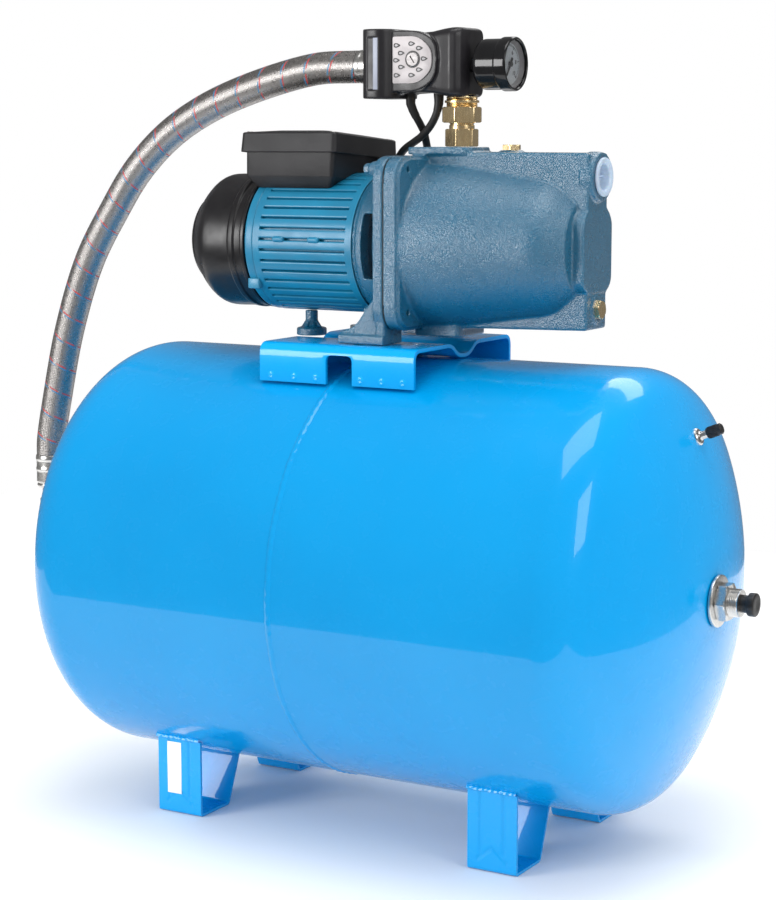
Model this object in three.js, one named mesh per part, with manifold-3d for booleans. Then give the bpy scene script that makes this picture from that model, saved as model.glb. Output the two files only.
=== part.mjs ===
// Water pressure set: a self-priming jet pump on a horizontal 100 litre membrane tank, with its
// pressure switch, gauge and braided hose. Millimetres, +Z up, X along the pump shaft and the tank.
// The fan and the hose are at -X, the suction port and the tank's end plug at +X; -Y is the front.
import * as THREE from "three";
import { mergeVertices } from "three/addons/utils/BufferGeometryUtils.js";
import Module from "manifold-3d";

const wasm = await Module();
wasm.setup();

// ---- driving dimensions ------------------------------------------------------------------

// The set is drawn about the tank's middle, then moved so the origin is under its middle.
const TANK_MIDDLE_X = 32.5;

const tank = {
  radius: 225,
  axisZ: 272.5,
  straightHalf: 275.5,
  crownRadius: 410,
  knuckleRadius: 52,
  wall: 2.5,
  collarRadius: 76,
  collarBore: 58,
  endHole: 14.6,
};
tank.endX =
  tank.straightHalf +
  tank.crownRadius -
  Math.sqrt(
    (tank.crownRadius - tank.knuckleRadius) ** 2 -
      (tank.radius - tank.knuckleRadius) ** 2,
  );

const leg = {
  width: 55,
  endX: 217,
  outerY: 125,
  innerY: 71,
  leanTopY: 50,
  sheet: 3,
  outerTopZ: 82.6,
  innerTopZ: 51.5,
};
const platform = {
  x0: -94,
  x1: 89,
  halfY: 106,
  topZ: 515,
  valleyZ: 503,
  skirtZ: 475,
  sheet: 4,
  notchX0: -14,
  notchX1: 17,
  notchTopZ: 505,
};
const axisZ = 614; // pump and motor shaft
const motorRoll = THREE.MathUtils.degToRad(-4); // the motor and its box sit a little turned

const housing = { x0: -124, x1: -4, finTip: 73, finRoot: 66, bore: 56, fins: 20 };
const cover = { x0: -220, x1: -137, radius: 71, backRadius: 48, shoulderX: -198 };
const flange = { x0: 43, x1: 58, half: 88, corner: 26, midZ: 617.5 };
const box = { x0: -149, x1: -31, halfY: 65, lidTop: 726, lidBottom: 705, baseBottom: 662 };
const web = { halfY: 23, bottomZ: 534, topZ: 709, frontX: 239 };
const bracketBoltY = 66;
const dischargeX = 85;
const primingX = 142;
const suctionZ = 685;
const drainZ = 554;
const lineZ = 796.5; // axis of the hose, the switch and the gauge
const gauge = { x0: 107, face: 147, radius: 27 };
const elbowX = -457;
const valveOut = new THREE.Vector3(0.921, 0.053, 0.385).normalize(); // square to the dome

// ---- solids ------------------------------------------------------------------------------

// A closed three.js geometry as a manifold solid with outward faces.
function solidOf(geometry) {
  const bare = geometry.clone();
  bare.deleteAttribute("normal");
  bare.deleteAttribute("uv");
  const merged = mergeVertices(bare, 1e-3);
  const index = merged.index.array;
  const faces = [];
  for (let i = 0; i < index.length; i += 3) {
    const [a, b, c] = [index[i], index[i + 1], index[i + 2]];
    if (a !== b && b !== c && c !== a) faces.push(a, b, c);
  }
  const position = merged.attributes.position.array;
  const build = (list) =>
    new wasm.Manifold(
      new wasm.Mesh({
        numProp: 3,
        vertProperties: new Float32Array(position),
        triVerts: new Uint32Array(list),
      }),
    );
  const solid = build(faces);
  if (solid.volume() > 0) return solid;
  const flipped = [];
  for (let i = 0; i < faces.length; i += 3) flipped.push(faces[i], faces[i + 2], faces[i + 1]);
  return build(flipped);
}

function geometryOf(solid) {
  const mesh = solid.getMesh();
  const position = new Float32Array(mesh.numVert * 3);
  for (let i = 0; i < mesh.numVert; i++)
    for (let k = 0; k < 3; k++) position[3 * i + k] = mesh.vertProperties[mesh.numProp * i + k];
  const geometry = new THREE.BufferGeometry();
  geometry.setAttribute("position", new THREE.BufferAttribute(position, 3));
  geometry.setIndex(new THREE.BufferAttribute(new Uint32Array(mesh.triVerts), 1));
  geometry.computeVertexNormals();
  return geometry;
}

const join = (first, ...rest) => rest.reduce((all, next) => all.add(next), first);
const cut = (first, ...rest) => rest.reduce((all, next) => all.subtract(next), first);

// Lays a geometry drawn up the Y axis along X or Z.
function along(axis, geometry) {
  if (axis === "x") geometry.rotateZ(-Math.PI / 2);
  if (axis === "z") geometry.rotateX(Math.PI / 2);
  return geometry;
}

// A turned piece: profile is a list of [place along the axis, radius].
function turned(axis, profile, at = [0, 0, 0], sides = 32) {
  const points = profile.map(([place, radius]) => new THREE.Vector2(radius, place));
  const geometry = along(axis, new THREE.LatheGeometry(points, sides));
  return solidOf(geometry.translate(...at));
}

// A plain round rod from a to b along an axis.
const rod = (axis, radius, a, b, at = [0, 0, 0], sides = 32) =>
  turned(axis, [[a, 0], [a, radius], [b, radius], [b, 0]], at, sides);

// A round sleeve from a to b along an axis.
const sleeve = (axis, inner, outer, a, b, at = [0, 0, 0], sides = 32) =>
  turned(axis, [[a, inner], [a, outer], [b, outer], [b, inner], [a, inner]], at, sides);

// A hexagonal prism, measured across its flats; turn is its angle about the axis.
function hexagon(axis, acrossFlats, a, b, at, turn = 0) {
  const geometry = new THREE.CylinderGeometry(
    acrossFlats / Math.sqrt(3),
    acrossFlats / Math.sqrt(3),
    b - a,
    6,
  );
  geometry.rotateY(turn).translate(0, (a + b) / 2, 0);
  return solidOf(along(axis, geometry).translate(...at));
}

function block(x, y, z) {
  const geometry = new THREE.BoxGeometry(x[1] - x[0], y[1] - y[0], z[1] - z[0]);
  geometry.translate((x[0] + x[1]) / 2, (y[0] + y[1]) / 2, (z[0] + z[1]) / 2);
  return solidOf(geometry);
}

// A flat outline of [u, v] corners, rounded where a third number gives a radius.
function outline(corners) {
  const shape = new THREE.Shape();
  const count = corners.length;
  corners.forEach(([u, v, radius = 0], i) => {
    const corner = new THREE.Vector2(u, v);
    const last = new THREE.Vector2(...corners[(i + count - 1) % count].slice(0, 2));
    const next = new THREE.Vector2(...corners[(i + 1) % count].slice(0, 2));
    const start = corner.clone().add(last.sub(corner).setLength(radius));
    const end = corner.clone().add(next.sub(corner).setLength(radius));
    if (i === 0) shape.moveTo(start.x, start.y);
    else shape.lineTo(start.x, start.y);
    if (radius) shape.quadraticCurveTo(u, v, end.x, end.y);
  });
  shape.closePath();
  return shape;
}

// An outline in the YZ plane, drawn out along X.
function plateX(shape, x0, x1, curveSegments = 5) {
  const geometry = new THREE.ExtrudeGeometry(shape, {
    depth: x1 - x0,
    bevelEnabled: false,
    curveSegments,
  });
  const toYZ = new THREE.Matrix4().set(0, 0, 1, x0, 1, 0, 0, 0, 0, 1, 0, 0, 0, 0, 0, 1);
  return solidOf(geometry.applyMatrix4(toYZ));
}

// An outline in the XZ plane, drawn out along Y.
function plateY(shape, y0, y1, curveSegments = 5) {
  const geometry = new THREE.ExtrudeGeometry(shape, {
    depth: y1 - y0,
    bevelEnabled: false,
    curveSegments,
  });
  const toXZ = new THREE.Matrix4().set(1, 0, 0, 0, 0, 0, -1, y1, 0, 1, 0, 0, 0, 0, 0, 1);
  return solidOf(geometry.applyMatrix4(toXZ));
}

// An outline in the XY plane, drawn up along Z.
function plateZ(shape, z0, z1, curveSegments = 5) {
  const geometry = new THREE.ExtrudeGeometry(shape, {
    depth: z1 - z0,
    bevelEnabled: false,
    curveSegments,
  });
  return solidOf(geometry.translate(0, 0, z0));
}

// A bent sheet's outline: a path with the sheet's thickness laid on its right-hand side.
function bentSheet(path, thickness) {
  const points = path.map(([u, v]) => new THREE.Vector2(u, v));
  const sides = points.slice(1).map((p, i) => {
    const along = p.clone().sub(points[i]).normalize();
    return new THREE.Vector2(along.y, -along.x);
  });
  const inner = points.map((p, i) => {
    const before = sides[Math.max(i - 1, 0)];
    const after = sides[Math.min(i, sides.length - 1)];
    const middle = before.clone().add(after).normalize();
    return p.clone().addScaledVector(middle, thickness / middle.dot(before));
  });
  return new THREE.Shape([...points, ...inner.reverse()]);
}

function curveThrough(points) {
  return new THREE.CatmullRomCurve3(
    points.map((p) => new THREE.Vector3(...p)),
    false,
    "centripetal",
  );
}

// A plain tube along a curve.
function tube(points, radius, steps, sides) {
  const circle = new THREE.Shape(
    Array.from({ length: sides }, (_, i) => {
      const angle = (2 * Math.PI * i) / sides;
      return new THREE.Vector2(radius * Math.cos(angle), radius * Math.sin(angle));
    }),
  );
  return solidOf(
    new THREE.ExtrudeGeometry(circle, { steps, extrudePath: curveThrough(points) }),
  );
}

// A turned piece standing square on the tank's right-hand dome; places count from its skin.
function turnedOnDome(profile, sides) {
  const points = profile.map(([place, radius]) => new THREE.Vector2(radius, place));
  const geometry = new THREE.LatheGeometry(points, sides);
  geometry.applyQuaternion(
    new THREE.Quaternion().setFromUnitVectors(new THREE.Vector3(0, 1, 0), valveOut),
  );
  const seat = valveOut.clone().multiplyScalar(tank.crownRadius);
  geometry.translate(seat.x + tank.endX - tank.crownRadius, seat.y, seat.z + tank.axisZ);
  return solidOf(geometry);
}

// ---- materials ---------------------------------------------------------------------------

const look = (color, roughness, metalness) => ({ color, roughness, metalness });
const bluePaint = look(0x0a9be0, 0.3, 0);
const castPaint = look(0x2a6d8c, 0.35, 0);
const motorPaint = look(0x2f7ea3, 0.4, 0);
const black = look(0x17171a, 0.45, 0);
const rubber = look(0x111112, 0.8, 0);
const brass = look(0xc9a257, 0.3, 1);
const steel = look(0xb9bcc0, 0.3, 1);
const braid = look(0x8e8f92, 0.35, 1);
const copper = look(0xb06a3c, 0.4, 1);
const white = look(0xf2f2ee, 0.5, 0);
const cap = look(0xe8ecf0, 0.4, 0);

const set = new THREE.Group();
set.name = "pressure_set";
set.position.x = TANK_MIDDLE_X;

function place(name, solid, material) {
  const mesh = new THREE.Mesh(geometryOf(solid), new THREE.MeshStandardMaterial(material));
  mesh.name = name;
  set.add(mesh);
  return mesh;
}

// Turns a solid's mesh about the pump's shaft.
function roll(mesh, angle) {
  mesh.geometry.translate(0, 0, -axisZ).rotateX(angle).translate(0, 0, axisZ);
}

// ---- tank --------------------------------------------------------------------------------

// Half of a dished end's profile, from the crown out to the straight wall, inset by a wall.
function dishedEnd(inset, innerRadius, crownSteps, knuckleSteps) {
  const crown = tank.crownRadius - inset;
  const knuckle = tank.knuckleRadius - inset;
  const crownCentre = tank.endX - tank.crownRadius;
  const meet = Math.asin((tank.radius - tank.knuckleRadius) / (tank.crownRadius - tank.knuckleRadius));
  const start = Math.asin(innerRadius / crown);
  const points = [];
  for (let i = 0; i <= crownSteps; i++) {
    const angle = start + ((meet - start) * i) / crownSteps;
    points.push([crownCentre + crown * Math.cos(angle), crown * Math.sin(angle)]);
  }
  for (let i = 1; i <= knuckleSteps; i++) {
    const angle = meet + ((Math.PI / 2 - meet) * i) / knuckleSteps;
    points.push([
      tank.straightHalf + knuckle * Math.cos(angle),
      tank.radius - tank.knuckleRadius + knuckle * Math.sin(angle),
    ]);
  }
  return points;
}

const mirrored = (profile) => profile.map(([x, r]) => [-x, r]);
const tankAt = [0, 0, tank.axisZ];
{
  const outerRight = dishedEnd(0, tank.endHole, 4, 3);
  const outerLeft = mirrored(dishedEnd(0, tank.collarBore, 3, 3));
  const innerRight = dishedEnd(tank.wall, tank.endHole, 2, 2);
  const innerLeft = mirrored(dishedEnd(tank.wall, tank.collarBore, 2, 2));
  const wall = turned(
    "x",
    [
      ...outerLeft,
      ...outerRight.slice().reverse(),
      ...innerRight,
      ...innerLeft.slice().reverse(),
      outerLeft[0],
    ],
    tankAt,
    36,
  );
  const collar = sleeve("x", tank.collarBore, tank.collarRadius, 3 - tank.endX, 12 - tank.endX, tankAt, 36);
  const valveHole = turnedOnDome([[-14, 0], [-14, 5], [8, 5], [8, 0]], 12);
  place("tank_shell", cut(join(wall, collar), valveHole), bluePaint);

  const bag = [
    [-300, 150],
    [-230, 202],
    [230, 202],
    [310, 150],
    [344, 70],
  ];
  const bagIn = bag.map(([x, r]) => [x, r - 3]);
  place(
    "bladder",
    turned(
      "x",
      [
        [-371.6, 50],
        [-371.6, 70],
        [-369.3, 70],
        [-369.3, 56],
        [-350, 56],
        ...bag,
        [357, 40],
        [357, 14.6],
        [354, 14.6],
        [354, 38],
        ...bagIn.slice().reverse(),
        [-350, 53],
        [-368, 50],
        [-371.6, 50],
      ],
      tankAt,
      20,
    ),
    rubber,
  );
}

// The left-hand flange carries the water port; the elbow turns it up to the hose.
place(
  "tank_flange",
  turned(
    "x",
    [
      [-378, 16.5],
      [-396, 16.5],
      [-396, 22],
      [-378, 24],
      [-378, 75],
      [-372, 75],
      [-372, 16.5],
      [-378, 16.5],
    ],
    tankAt,
    28,
  ),
  steel,
);
{
  const tail = rod("x", 16.1, elbowX, -375, tankAt, 14);
  const collar = hexagon("x", 36, -409, -397, tankAt);
  const run = rod("x", 15, elbowX, -409, tankAt, 16);
  const heel = solidOf(new THREE.SphereGeometry(15.5, 16, 8).translate(elbowX, 0, tank.axisZ));
  const riser = rod("z", 14, tank.axisZ, 300, [elbowX, 0, 0], 16);
  const bore = join(
    rod("x", 9.5, elbowX, -370, tankAt, 12),
    rod("z", 9.5, tank.axisZ - 3, 310, [elbowX, 0, 0], 12),
  );
  place("flange_elbow", cut(join(tail, collar, run, heel, riser), bore), brass);
}

// The right-hand fitting holds the membrane's tail and is closed by a plug.
place("end_washer", sleeve("x", 14.6, 26.2, tank.endX + 0.6, tank.endX + 4, tankAt, 24), steel);
place(
  "end_nut",
  cut(
    hexagon("x", 35, tank.endX + 4.3, tank.endX + 14.6, tankAt, Math.PI / 6),
    rod("x", 14.6, 300, 420, tankAt, 20),
  ),
  steel,
);
place(
  "end_nipple",
  turned(
    "x",
    [
      [344, 9],
      [344, 23],
      [353.6, 23],
      [353.6, 14.2],
      [398, 14.2],
      [398, 9],
      [344, 9],
    ],
    tankAt,
    20,
  ),
  steel,
);
place(
  "end_plug",
  turned("x", [[380, 0], [380, 8.7], [406, 8.7], [406, 11.8], [413.5, 11.8], [413.5, 0]], tankAt, 20),
  black,
);
place(
  "air_valve",
  turnedOnDome(
    [
      [-12, 0],
      [-12, 4.6],
      [0.4, 4.6],
      [0.4, 9],
      [3, 9],
      [3, 4],
      [18, 4],
      [18, 0],
    ],
    16,
  ),
  brass,
);
place(
  "air_valve_cap",
  turnedOnDome(
    [
      [11, 4.3],
      [11, 6],
      [26, 6],
      [27, 5],
      [27, 0],
      [19, 0],
      [19, 4.3],
      [11, 4.3],
    ],
    16,
  ),
  black,
);

for (const [end, xSign] of [["left", -1], ["right", 1]])
  for (const [face, ySign] of [["front", -1], ["rear", 1]]) {
    const path = [
      [-leg.outerY, leg.outerTopZ],
      [-leg.outerY, 3],
      [-leg.outerY + 3, 0],
      [-leg.innerY - 3, 0],
      [-leg.innerY + 1.2, 2.8],
      [-leg.leanTopY, leg.innerTopZ],
    ];
    const x = [leg.endX - leg.width, leg.endX].map((value) => xSign * value).sort((a, b) => a - b);
    const bent = bentSheet(path, -leg.sheet);
    const solid = plateX(bent, x[0], x[1]);
    place(`leg_${face}_${end}`, ySign < 0 ? solid : solid.mirror([0, 1, 0]), bluePaint);
  }

// The platform is one bent sheet: two bearing strips, a valley between them and two skirts.
{
  const bend = platform.halfY - 14;
  const half = [
    [platform.halfY, platform.skirtZ],
    [platform.halfY, platform.topZ - 14],
    [platform.halfY - 4, platform.topZ - 4],
    [bend, platform.topZ],
    [26, platform.topZ],
    [11, platform.valleyZ],
  ];
  const path = [...half.map(([y, z]) => [-y, z]), ...half.slice().reverse()];
  const sheet = plateX(bentSheet(path, platform.sheet), platform.x0, platform.x1);
  const notch = outline([
    [platform.notchX0, 450],
    [platform.notchX1, 450],
    [platform.notchX1, platform.notchTopZ, 8],
    [platform.notchX0, platform.notchTopZ, 8],
  ]);
  const frontNotch = plateY(notch, -platform.halfY - 5, -platform.halfY + 12);
  const boltHoles = [-bracketBoltY, bracketBoltY].map((y) => rod("z", 4.6, 500, 520, [0, y, 0], 12));
  const cuts = [frontNotch, frontNotch.mirror([0, 1, 0]), ...boltHoles];
  place("pump_platform", cut(sheet, ...cuts), bluePaint);
}

// ---- motor -------------------------------------------------------------------------------

const shaftAt = [0, 0, axisZ];
const squareFlange = (inset) => {
  const half = flange.half - inset;
  const corner = flange.corner - inset / 2;
  return outline([
    [-half, flange.midZ - half, corner],
    [half, flange.midZ - half, corner],
    [half, flange.midZ + half, corner],
    [-half, flange.midZ + half, corner],
  ]);
};

{
  const points = [];
  const pitch = (2 * Math.PI) / housing.fins;
  for (let i = 0; i < housing.fins; i++)
    for (const [part, radius] of [
      [0.08, housing.finRoot],
      [0.22, housing.finTip],
      [0.78, housing.finTip],
      [0.92, housing.finRoot],
    ]) {
      const angle = (i + part) * pitch;
      points.push(new THREE.Vector2(radius * Math.cos(angle), radius * Math.sin(angle) + axisZ));
    }
  const finned = plateX(new THREE.Shape(points), housing.x0, housing.x1);
  const footBoss = rod("z", 12, 541, 560, [-88, 0, 0], 12);
  const bore = rod("x", housing.bore, -200, 50, shaftAt, 32);
  const wires = rod("z", 8, axisZ, 720, [-100, 0, 0], 12);
  const solid = cut(join(finned, footBoss), bore, wires);
  roll(place("motor_housing", solid, motorPaint), motorRoll);
}
place(
  "end_shield",
  turned(
    "x",
    [
      [-136.6, 8.4],
      [-136.6, 24],
      [-131, 60],
      [-136.6, 72.5],
      [-124.3, 72.5],
      [-124.3, 55.6],
      [-118, 55.6],
      [-118, 52],
      [-126, 24],
      [-119, 22],
      [-119, 17.7],
      [-130.4, 17.7],
      [-130.4, 8.4],
      [-136.6, 8.4],
    ],
    shaftAt,
    28,
  ),
  motorPaint,
);
place(
  "fan_cover",
  (() => {
    const shell = turned(
      "x",
      [
        [cover.x0, 0],
        [cover.x0, cover.backRadius - 3],
        [cover.x0 + 2, cover.backRadius],
        [cover.shoulderX - 8, cover.radius - 7],
        [cover.shoulderX, cover.radius],
        [cover.x1, cover.radius],
        [cover.x1, cover.radius - 2.2],
        [cover.shoulderX + 1, cover.radius - 2.2],
        [cover.shoulderX - 7, cover.radius - 10],
        [cover.x0 + 3, cover.backRadius - 4],
        [cover.x0 + 2.5, 0],
      ],
      shaftAt,
      28,
    );
    const slots = [];
    for (let i = 0; i < 5; i++) {
      const y = (i - 2) * 15;
      const reach = Math.sqrt(38 ** 2 - y ** 2);
      slots.push(block([cover.x0 - 1, cover.x0 + 6], [y - 4, y + 4], [axisZ - reach, axisZ + reach]));
    }
    return cut(shell, ...slots);
  })(),
  black,
);
place(
  "fan",
  (() => {
    const hub = sleeve("x", 7.3, 14, -176, -152, shaftAt, 14);
    const disc = sleeve("x", 7.3, 58, -158, -155.5, shaftAt, 20);
    const blades = Array.from({ length: 6 }, (_, i) =>
      block([-176, -156], [-1.2, 1.2], [12, 60])
        .rotate([60 * i, 0, 0])
        .translate(shaftAt),
    );
    return join(hub, disc, ...blades);
  })(),
  black,
);
place(
  "shaft",
  turned(
    "x",
    [
      [-178, 0],
      [-178, 7],
      [-144, 7],
      [-144, 7.4],
      [-118, 7.4],
      [-118, 9],
      [-10, 9],
      [-10, 7.4],
      [44, 7.4],
      [44, 6.6],
      [84, 6.6],
      [84, 0],
    ],
    shaftAt,
    14,
  ),
  steel,
);
place("rotor_core", sleeve("x", 9.3, 31.5, -106, -34, shaftAt, 20), steel);
place(
  "stator",
  turned(
    "x",
    [
      [-114, 36],
      [-106, 55.5],
      [-34, 55.5],
      [-26, 36],
      [-34, 32.4],
      [-106, 32.4],
      [-114, 36],
    ],
    shaftAt,
    24,
  ),
  copper,
);
place("rear_bearing", sleeve("x", 7.7, 17.4, -130, -119, shaftAt, 16), steel);
place("front_bearing", sleeve("x", 7.7, 17.4, -7, 4, shaftAt, 16), steel);

// ---- bracket between motor and pump ------------------------------------------------------
{
  const face = plateX(squareFlange(0), 30, flange.x0 - 1.2);
  const ring = rod("x", 72, -3.7, 31, shaftAt, 32);
  const footOutline = outline([
    [-12, platform.topZ + 0.3],
    [42, platform.topZ + 0.3],
    [42, 560],
    [28, 560],
    [8, 532],
    [-12, 530],
  ]);
  const frontFoot = join(
    plateY(footOutline, -82, -76),
    block([-12, 42], [-86, -50], [platform.topZ + 0.3, platform.topZ + 10]),
    block([34, 41], [-82, -46], [platform.topZ + 2, 600]),
  );
  const feet = join(frontFoot, frontFoot.mirror([0, 1, 0]));
  const inside = turned(
    "x",
    [
      [-10, 0],
      [-10, 17.7],
      [4.3, 17.7],
      [4.3, 10],
      [8, 10],
      [8, 60],
      [28, 60],
      [28, 13],
      [60, 13],
      [60, 0],
    ],
    shaftAt,
    24,
  );
  const windows = join(
    block([10, 27], [-90, 90], [axisZ - 34, axisZ + 34]),
    block([10, 27], [-30, 30], [axisZ - 90, axisZ - 40]),
  );
  const boltHoles = [-bracketBoltY, bracketBoltY].map((y) => rod("z", 4.6, 500, 545, [0, y, 0], 12));
  place("motor_bracket", cut(join(face, ring, feet), inside, windows, ...boltHoles), castPaint);
  [["front", -bracketBoltY], ["rear", bracketBoltY]].forEach(([side, y]) => {
    const at = [0, y, 0];
    const bolt = join(
      hexagon("z", 13, 527.6, 533.5, at),
      rod("z", 8.5, 525.6, 527.6, at, 16),
      rod("z", 4, 508.5, 530, at, 12),
    );
    place(`bracket_bolt_${side}`, bolt, steel);
  });
}

place(
  "support_foot",
  turned(
    "z",
    [
      [platform.topZ + 0.3, 0],
      [platform.topZ + 0.3, 16],
      [platform.topZ + 9, 16],
      [platform.topZ + 12, 8],
      [531, 6.5],
      [539.7, 6.5],
      [539.7, 0],
    ],
    [-88, -14, 0],
    16,
  ),
  castPaint,
);

// ---- pump --------------------------------------------------------------------------------

// The bowl's outside, as places along the shaft and the radius there.
const bowl = [
  [57, 87],
  [62, 86],
  [98, 84],
  [160, 74],
  [202, 69],
  [225, 52],
];
{
  const base = plateX(squareFlange(0), flange.x0, flange.x1);
  const cone = turned("x", [[50, 0], ...bowl, [226, 0]], shaftAt, 32);
  const ridge = plateY(
    outline([
      [50, 530],
      [web.frontX - 1, web.bottomZ, 3],
      [web.frontX - 1, web.topZ - 1, 4],
      [45, web.topZ],
      [45, 530],
    ]),
    -web.halfY,
    web.halfY,
  );
  const shoulder = plateX(
    outline([
      [-34, 580, 9],
      [-22, 570, 3],
      [22, 570, 3],
      [34, 580, 9],
      [34, 644, 9],
      [24, 656, 3],
      [-24, 656, 3],
      [-34, 644, 9],
    ]),
    212,
    web.frontX,
  );
  const suctionBoss = rod("x", 24.5, 200, web.frontX + 4, [0, 0, suctionZ], 24);
  const padOutline = (x0) =>
    outline([
      [x0, -28, 8],
      [108, -24, 10],
      [108, 24, 10],
      [x0, 28, 8],
    ]);
  const dischargePad = join(
    plateZ(padOutline(44), 690, 708, 3),
    plateZ(padOutline(34), 706.2, 714, 3),
  );
  const primingPad = rod("z", 12, 690, 711, [primingX, 0, 0], 16);
  const sole = plateZ(
    outline([
      [46, -30, 4],
      [98, -30, 4],
      [98, 30, 4],
      [46, 30, 4],
    ]),
    platform.topZ + 7,
    545,
  );
  const outside = join(
    base,
    cone,
    ridge,
    shoulder,
    suctionBoss,
    dischargePad,
    primingPad,
    sole,
  );
  const chamber = turned(
    "x",
    [
      [40, 0],
      [40, 78],
      [62, 78],
      [160, 61],
      [190, 56],
      [190, 0],
    ],
    shaftAt,
    24,
  );
  const inside = join(
    chamber,
    rod("z", 13.3, 660, 720, [dischargeX, 0, 0], 20),
    rod("z", 6.2, 660, 720, [primingX, 0, 0], 12),
    rod("x", 15.2, 206, 250, [0, 0, suctionZ], 20),
    rod("z", 11, axisZ, suctionZ, [217, 0, 0], 12),
    rod("x", 12.4, 185, 230, shaftAt, 16),
    rod("x", 6.2, 206, 250, [0, 0, drainZ], 12),
    rod("z", 5, drainZ, 575, [212, 0, 0], 8),
    rod("x", 5, 180, 214, [0, 0, 572], 8),
  );
  place("pump_body", cut(outside, inside), castPaint);
}
place(
  "body_gasket",
  plateX(
    (() => {
      const shape = squareFlange(0.8);
      shape.holes.push(new THREE.Path(
        Array.from({ length: 24 }, (_, i) => {
          const angle = (-2 * Math.PI * i) / 24;
          return new THREE.Vector2(79 * Math.cos(angle), axisZ + 79 * Math.sin(angle));
        }),
      ));
      return shape;
    })(),
    flange.x0 - 1,
    flange.x0 - 0.2,
  ),
  rubber,
);

// Closed impeller: two shrouds with curved vanes between them.
place(
  "impeller",
  (() => {
    const hub = sleeve("x", 7.1, 12, 58, 74, shaftAt, 14);
    const back = sleeve("x", 7.1, 62, 58, 60, shaftAt, 20);
    const front = sleeve("x", 18, 62, 69, 71, shaftAt, 20);
    const eye = sleeve("x", 18, 20.5, 69, 77, shaftAt, 20);
    const vanes = Array.from({ length: 6 }, (_, i) =>
      block([59.5, 69.5], [-1.2, 1.2], [10, 61])
        .rotate([20, 0, 0])
        .translate([0, 14, 0])
        .rotate([60 * i, 0, 0])
        .translate(shaftAt),
    );
    const trim = sleeve("x", 61, 90, 50, 80, shaftAt, 20);
    return cut(join(hub, back, front, eye, ...vanes), trim);
  })(),
  brass,
);
place(
  "diffuser",
  (() => {
    const plate = sleeve("x", 21.5, 72, 74, 77, shaftAt, 20);
    const rim = sleeve("x", 65, 72, 62, 77, shaftAt, 20);
    const neck = sleeve("x", 21.5, 25, 74, 92, shaftAt, 20);
    const ports = Array.from({ length: 6 }, (_, i) =>
      block([61, 73], [-6, 6], [60, 80]).rotate([60 * i + 30, 0, 0]).translate(shaftAt),
    );
    return cut(join(plate, rim, neck), ...ports);
  })(),
  black,
);
place(
  "venturi",
  turned(
    "x",
    [
      [92.4, 18],
      [92.4, 24],
      [98, 24],
      [98, 20],
      [160, 14],
      [172, 15.5],
      [180, 15.5],
      [180, 12],
      [172, 11],
      [156, 6.5],
      [92.4, 18],
    ],
    shaftAt,
    16,
  ),
  black,
);
place(
  "nozzle",
  turned(
    "x",
    [
      [184, 3.6],
      [184, 6],
      [200, 12],
      [212, 12],
      [212, 9],
      [201, 8.6],
      [184, 3.6],
    ],
    shaftAt,
    16,
  ),
  brass,
);
place("seal_seat", sleeve("x", 8, 12.8, 34, 42, shaftAt, 16), white);
place("seal_head", sleeve("x", 6.9, 13.5, 44.4, 57.6, shaftAt, 16), rubber);

place(
  "priming_plug",
  join(
    hexagon("z", 17, 711.3, 716.5, [primingX, 0, 0]),
    rod("z", 5.9, 698, 712, [primingX, 0, 0], 16),
  ),
  brass,
);
place(
  "drain_plug",
  join(
    hexagon("x", 17, web.frontX - 0.6, web.frontX + 5.5, [0, 0, drainZ]),
    rod("x", 5.9, 226, web.frontX, [0, 0, drainZ], 16),
  ),
  brass,
);
place(
  "suction_cap",
  turned(
    "x",
    [
      [230, 0],
      [230, 14.8],
      [243.3, 14.8],
      [243.3, 19.4],
      [246, 19.4],
      [246, 13],
      [234, 12.5],
      [234, 0],
    ],
    [0, 0, suctionZ],
    20,
  ),
  cap,
);

// ---- terminal box ------------------------------------------------------------------------
{
  const plan = (x0, x1, halfY, radius) =>
    outline([
      [x0, -halfY, radius],
      [x1, -halfY, radius],
      [x1, halfY, radius],
      [x0, halfY, radius],
    ]);
  const taper = new THREE.CylinderGeometry(Math.SQRT2 * 59, Math.SQRT2 * 44, 18, 4)
    .rotateY(Math.PI / 4)
    .rotateX(Math.PI / 2)
    .scale(0.92, 1, 1)
    .translate(-90, 0, 671);
  const tub = join(solidOf(taper), plateZ(plan(box.x0 + 5, box.x1 - 5, 60, 5), 679.5, box.lidBottom));
  const room = block([-138, -42], [-52, 52], [691, 720]);
  const motorRoom = rod("x", housing.finTip + 0.4, -200, 50, shaftAt, 32);
  const wires = rod("z", 6, 640, 700, [-100, 0, 0], 12);
  const entry = rod("x", 5, -60, -20, [0, 30, 696], 12);
  const glandBoss = rod("x", 8, -40, -22, [0, 30, 696], 12);
  const base = cut(join(tub, glandBoss), room, motorRoom, wires, entry);
  roll(place("box_base", base, black), motorRoll);
  const lid = cut(
    plateZ(plan(box.x0, box.x1, box.halfY, 7), box.lidBottom + 0.3, box.lidTop),
    block([-141, -39], [-57, 57], [700, 723]),
  );
  roll(place("box_lid", lid, black), motorRoll);
  roll(place("capacitor", rod("y", 13, -46, 10, [-62, 0, 706], 16), white), motorRoll);
  roll(place("terminal_block", block([-128, -92], [-24, 36], [691.4, 703]), white), motorRoll);
}

// ---- switch, fittings and gauge ----------------------------------------------------------

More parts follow.
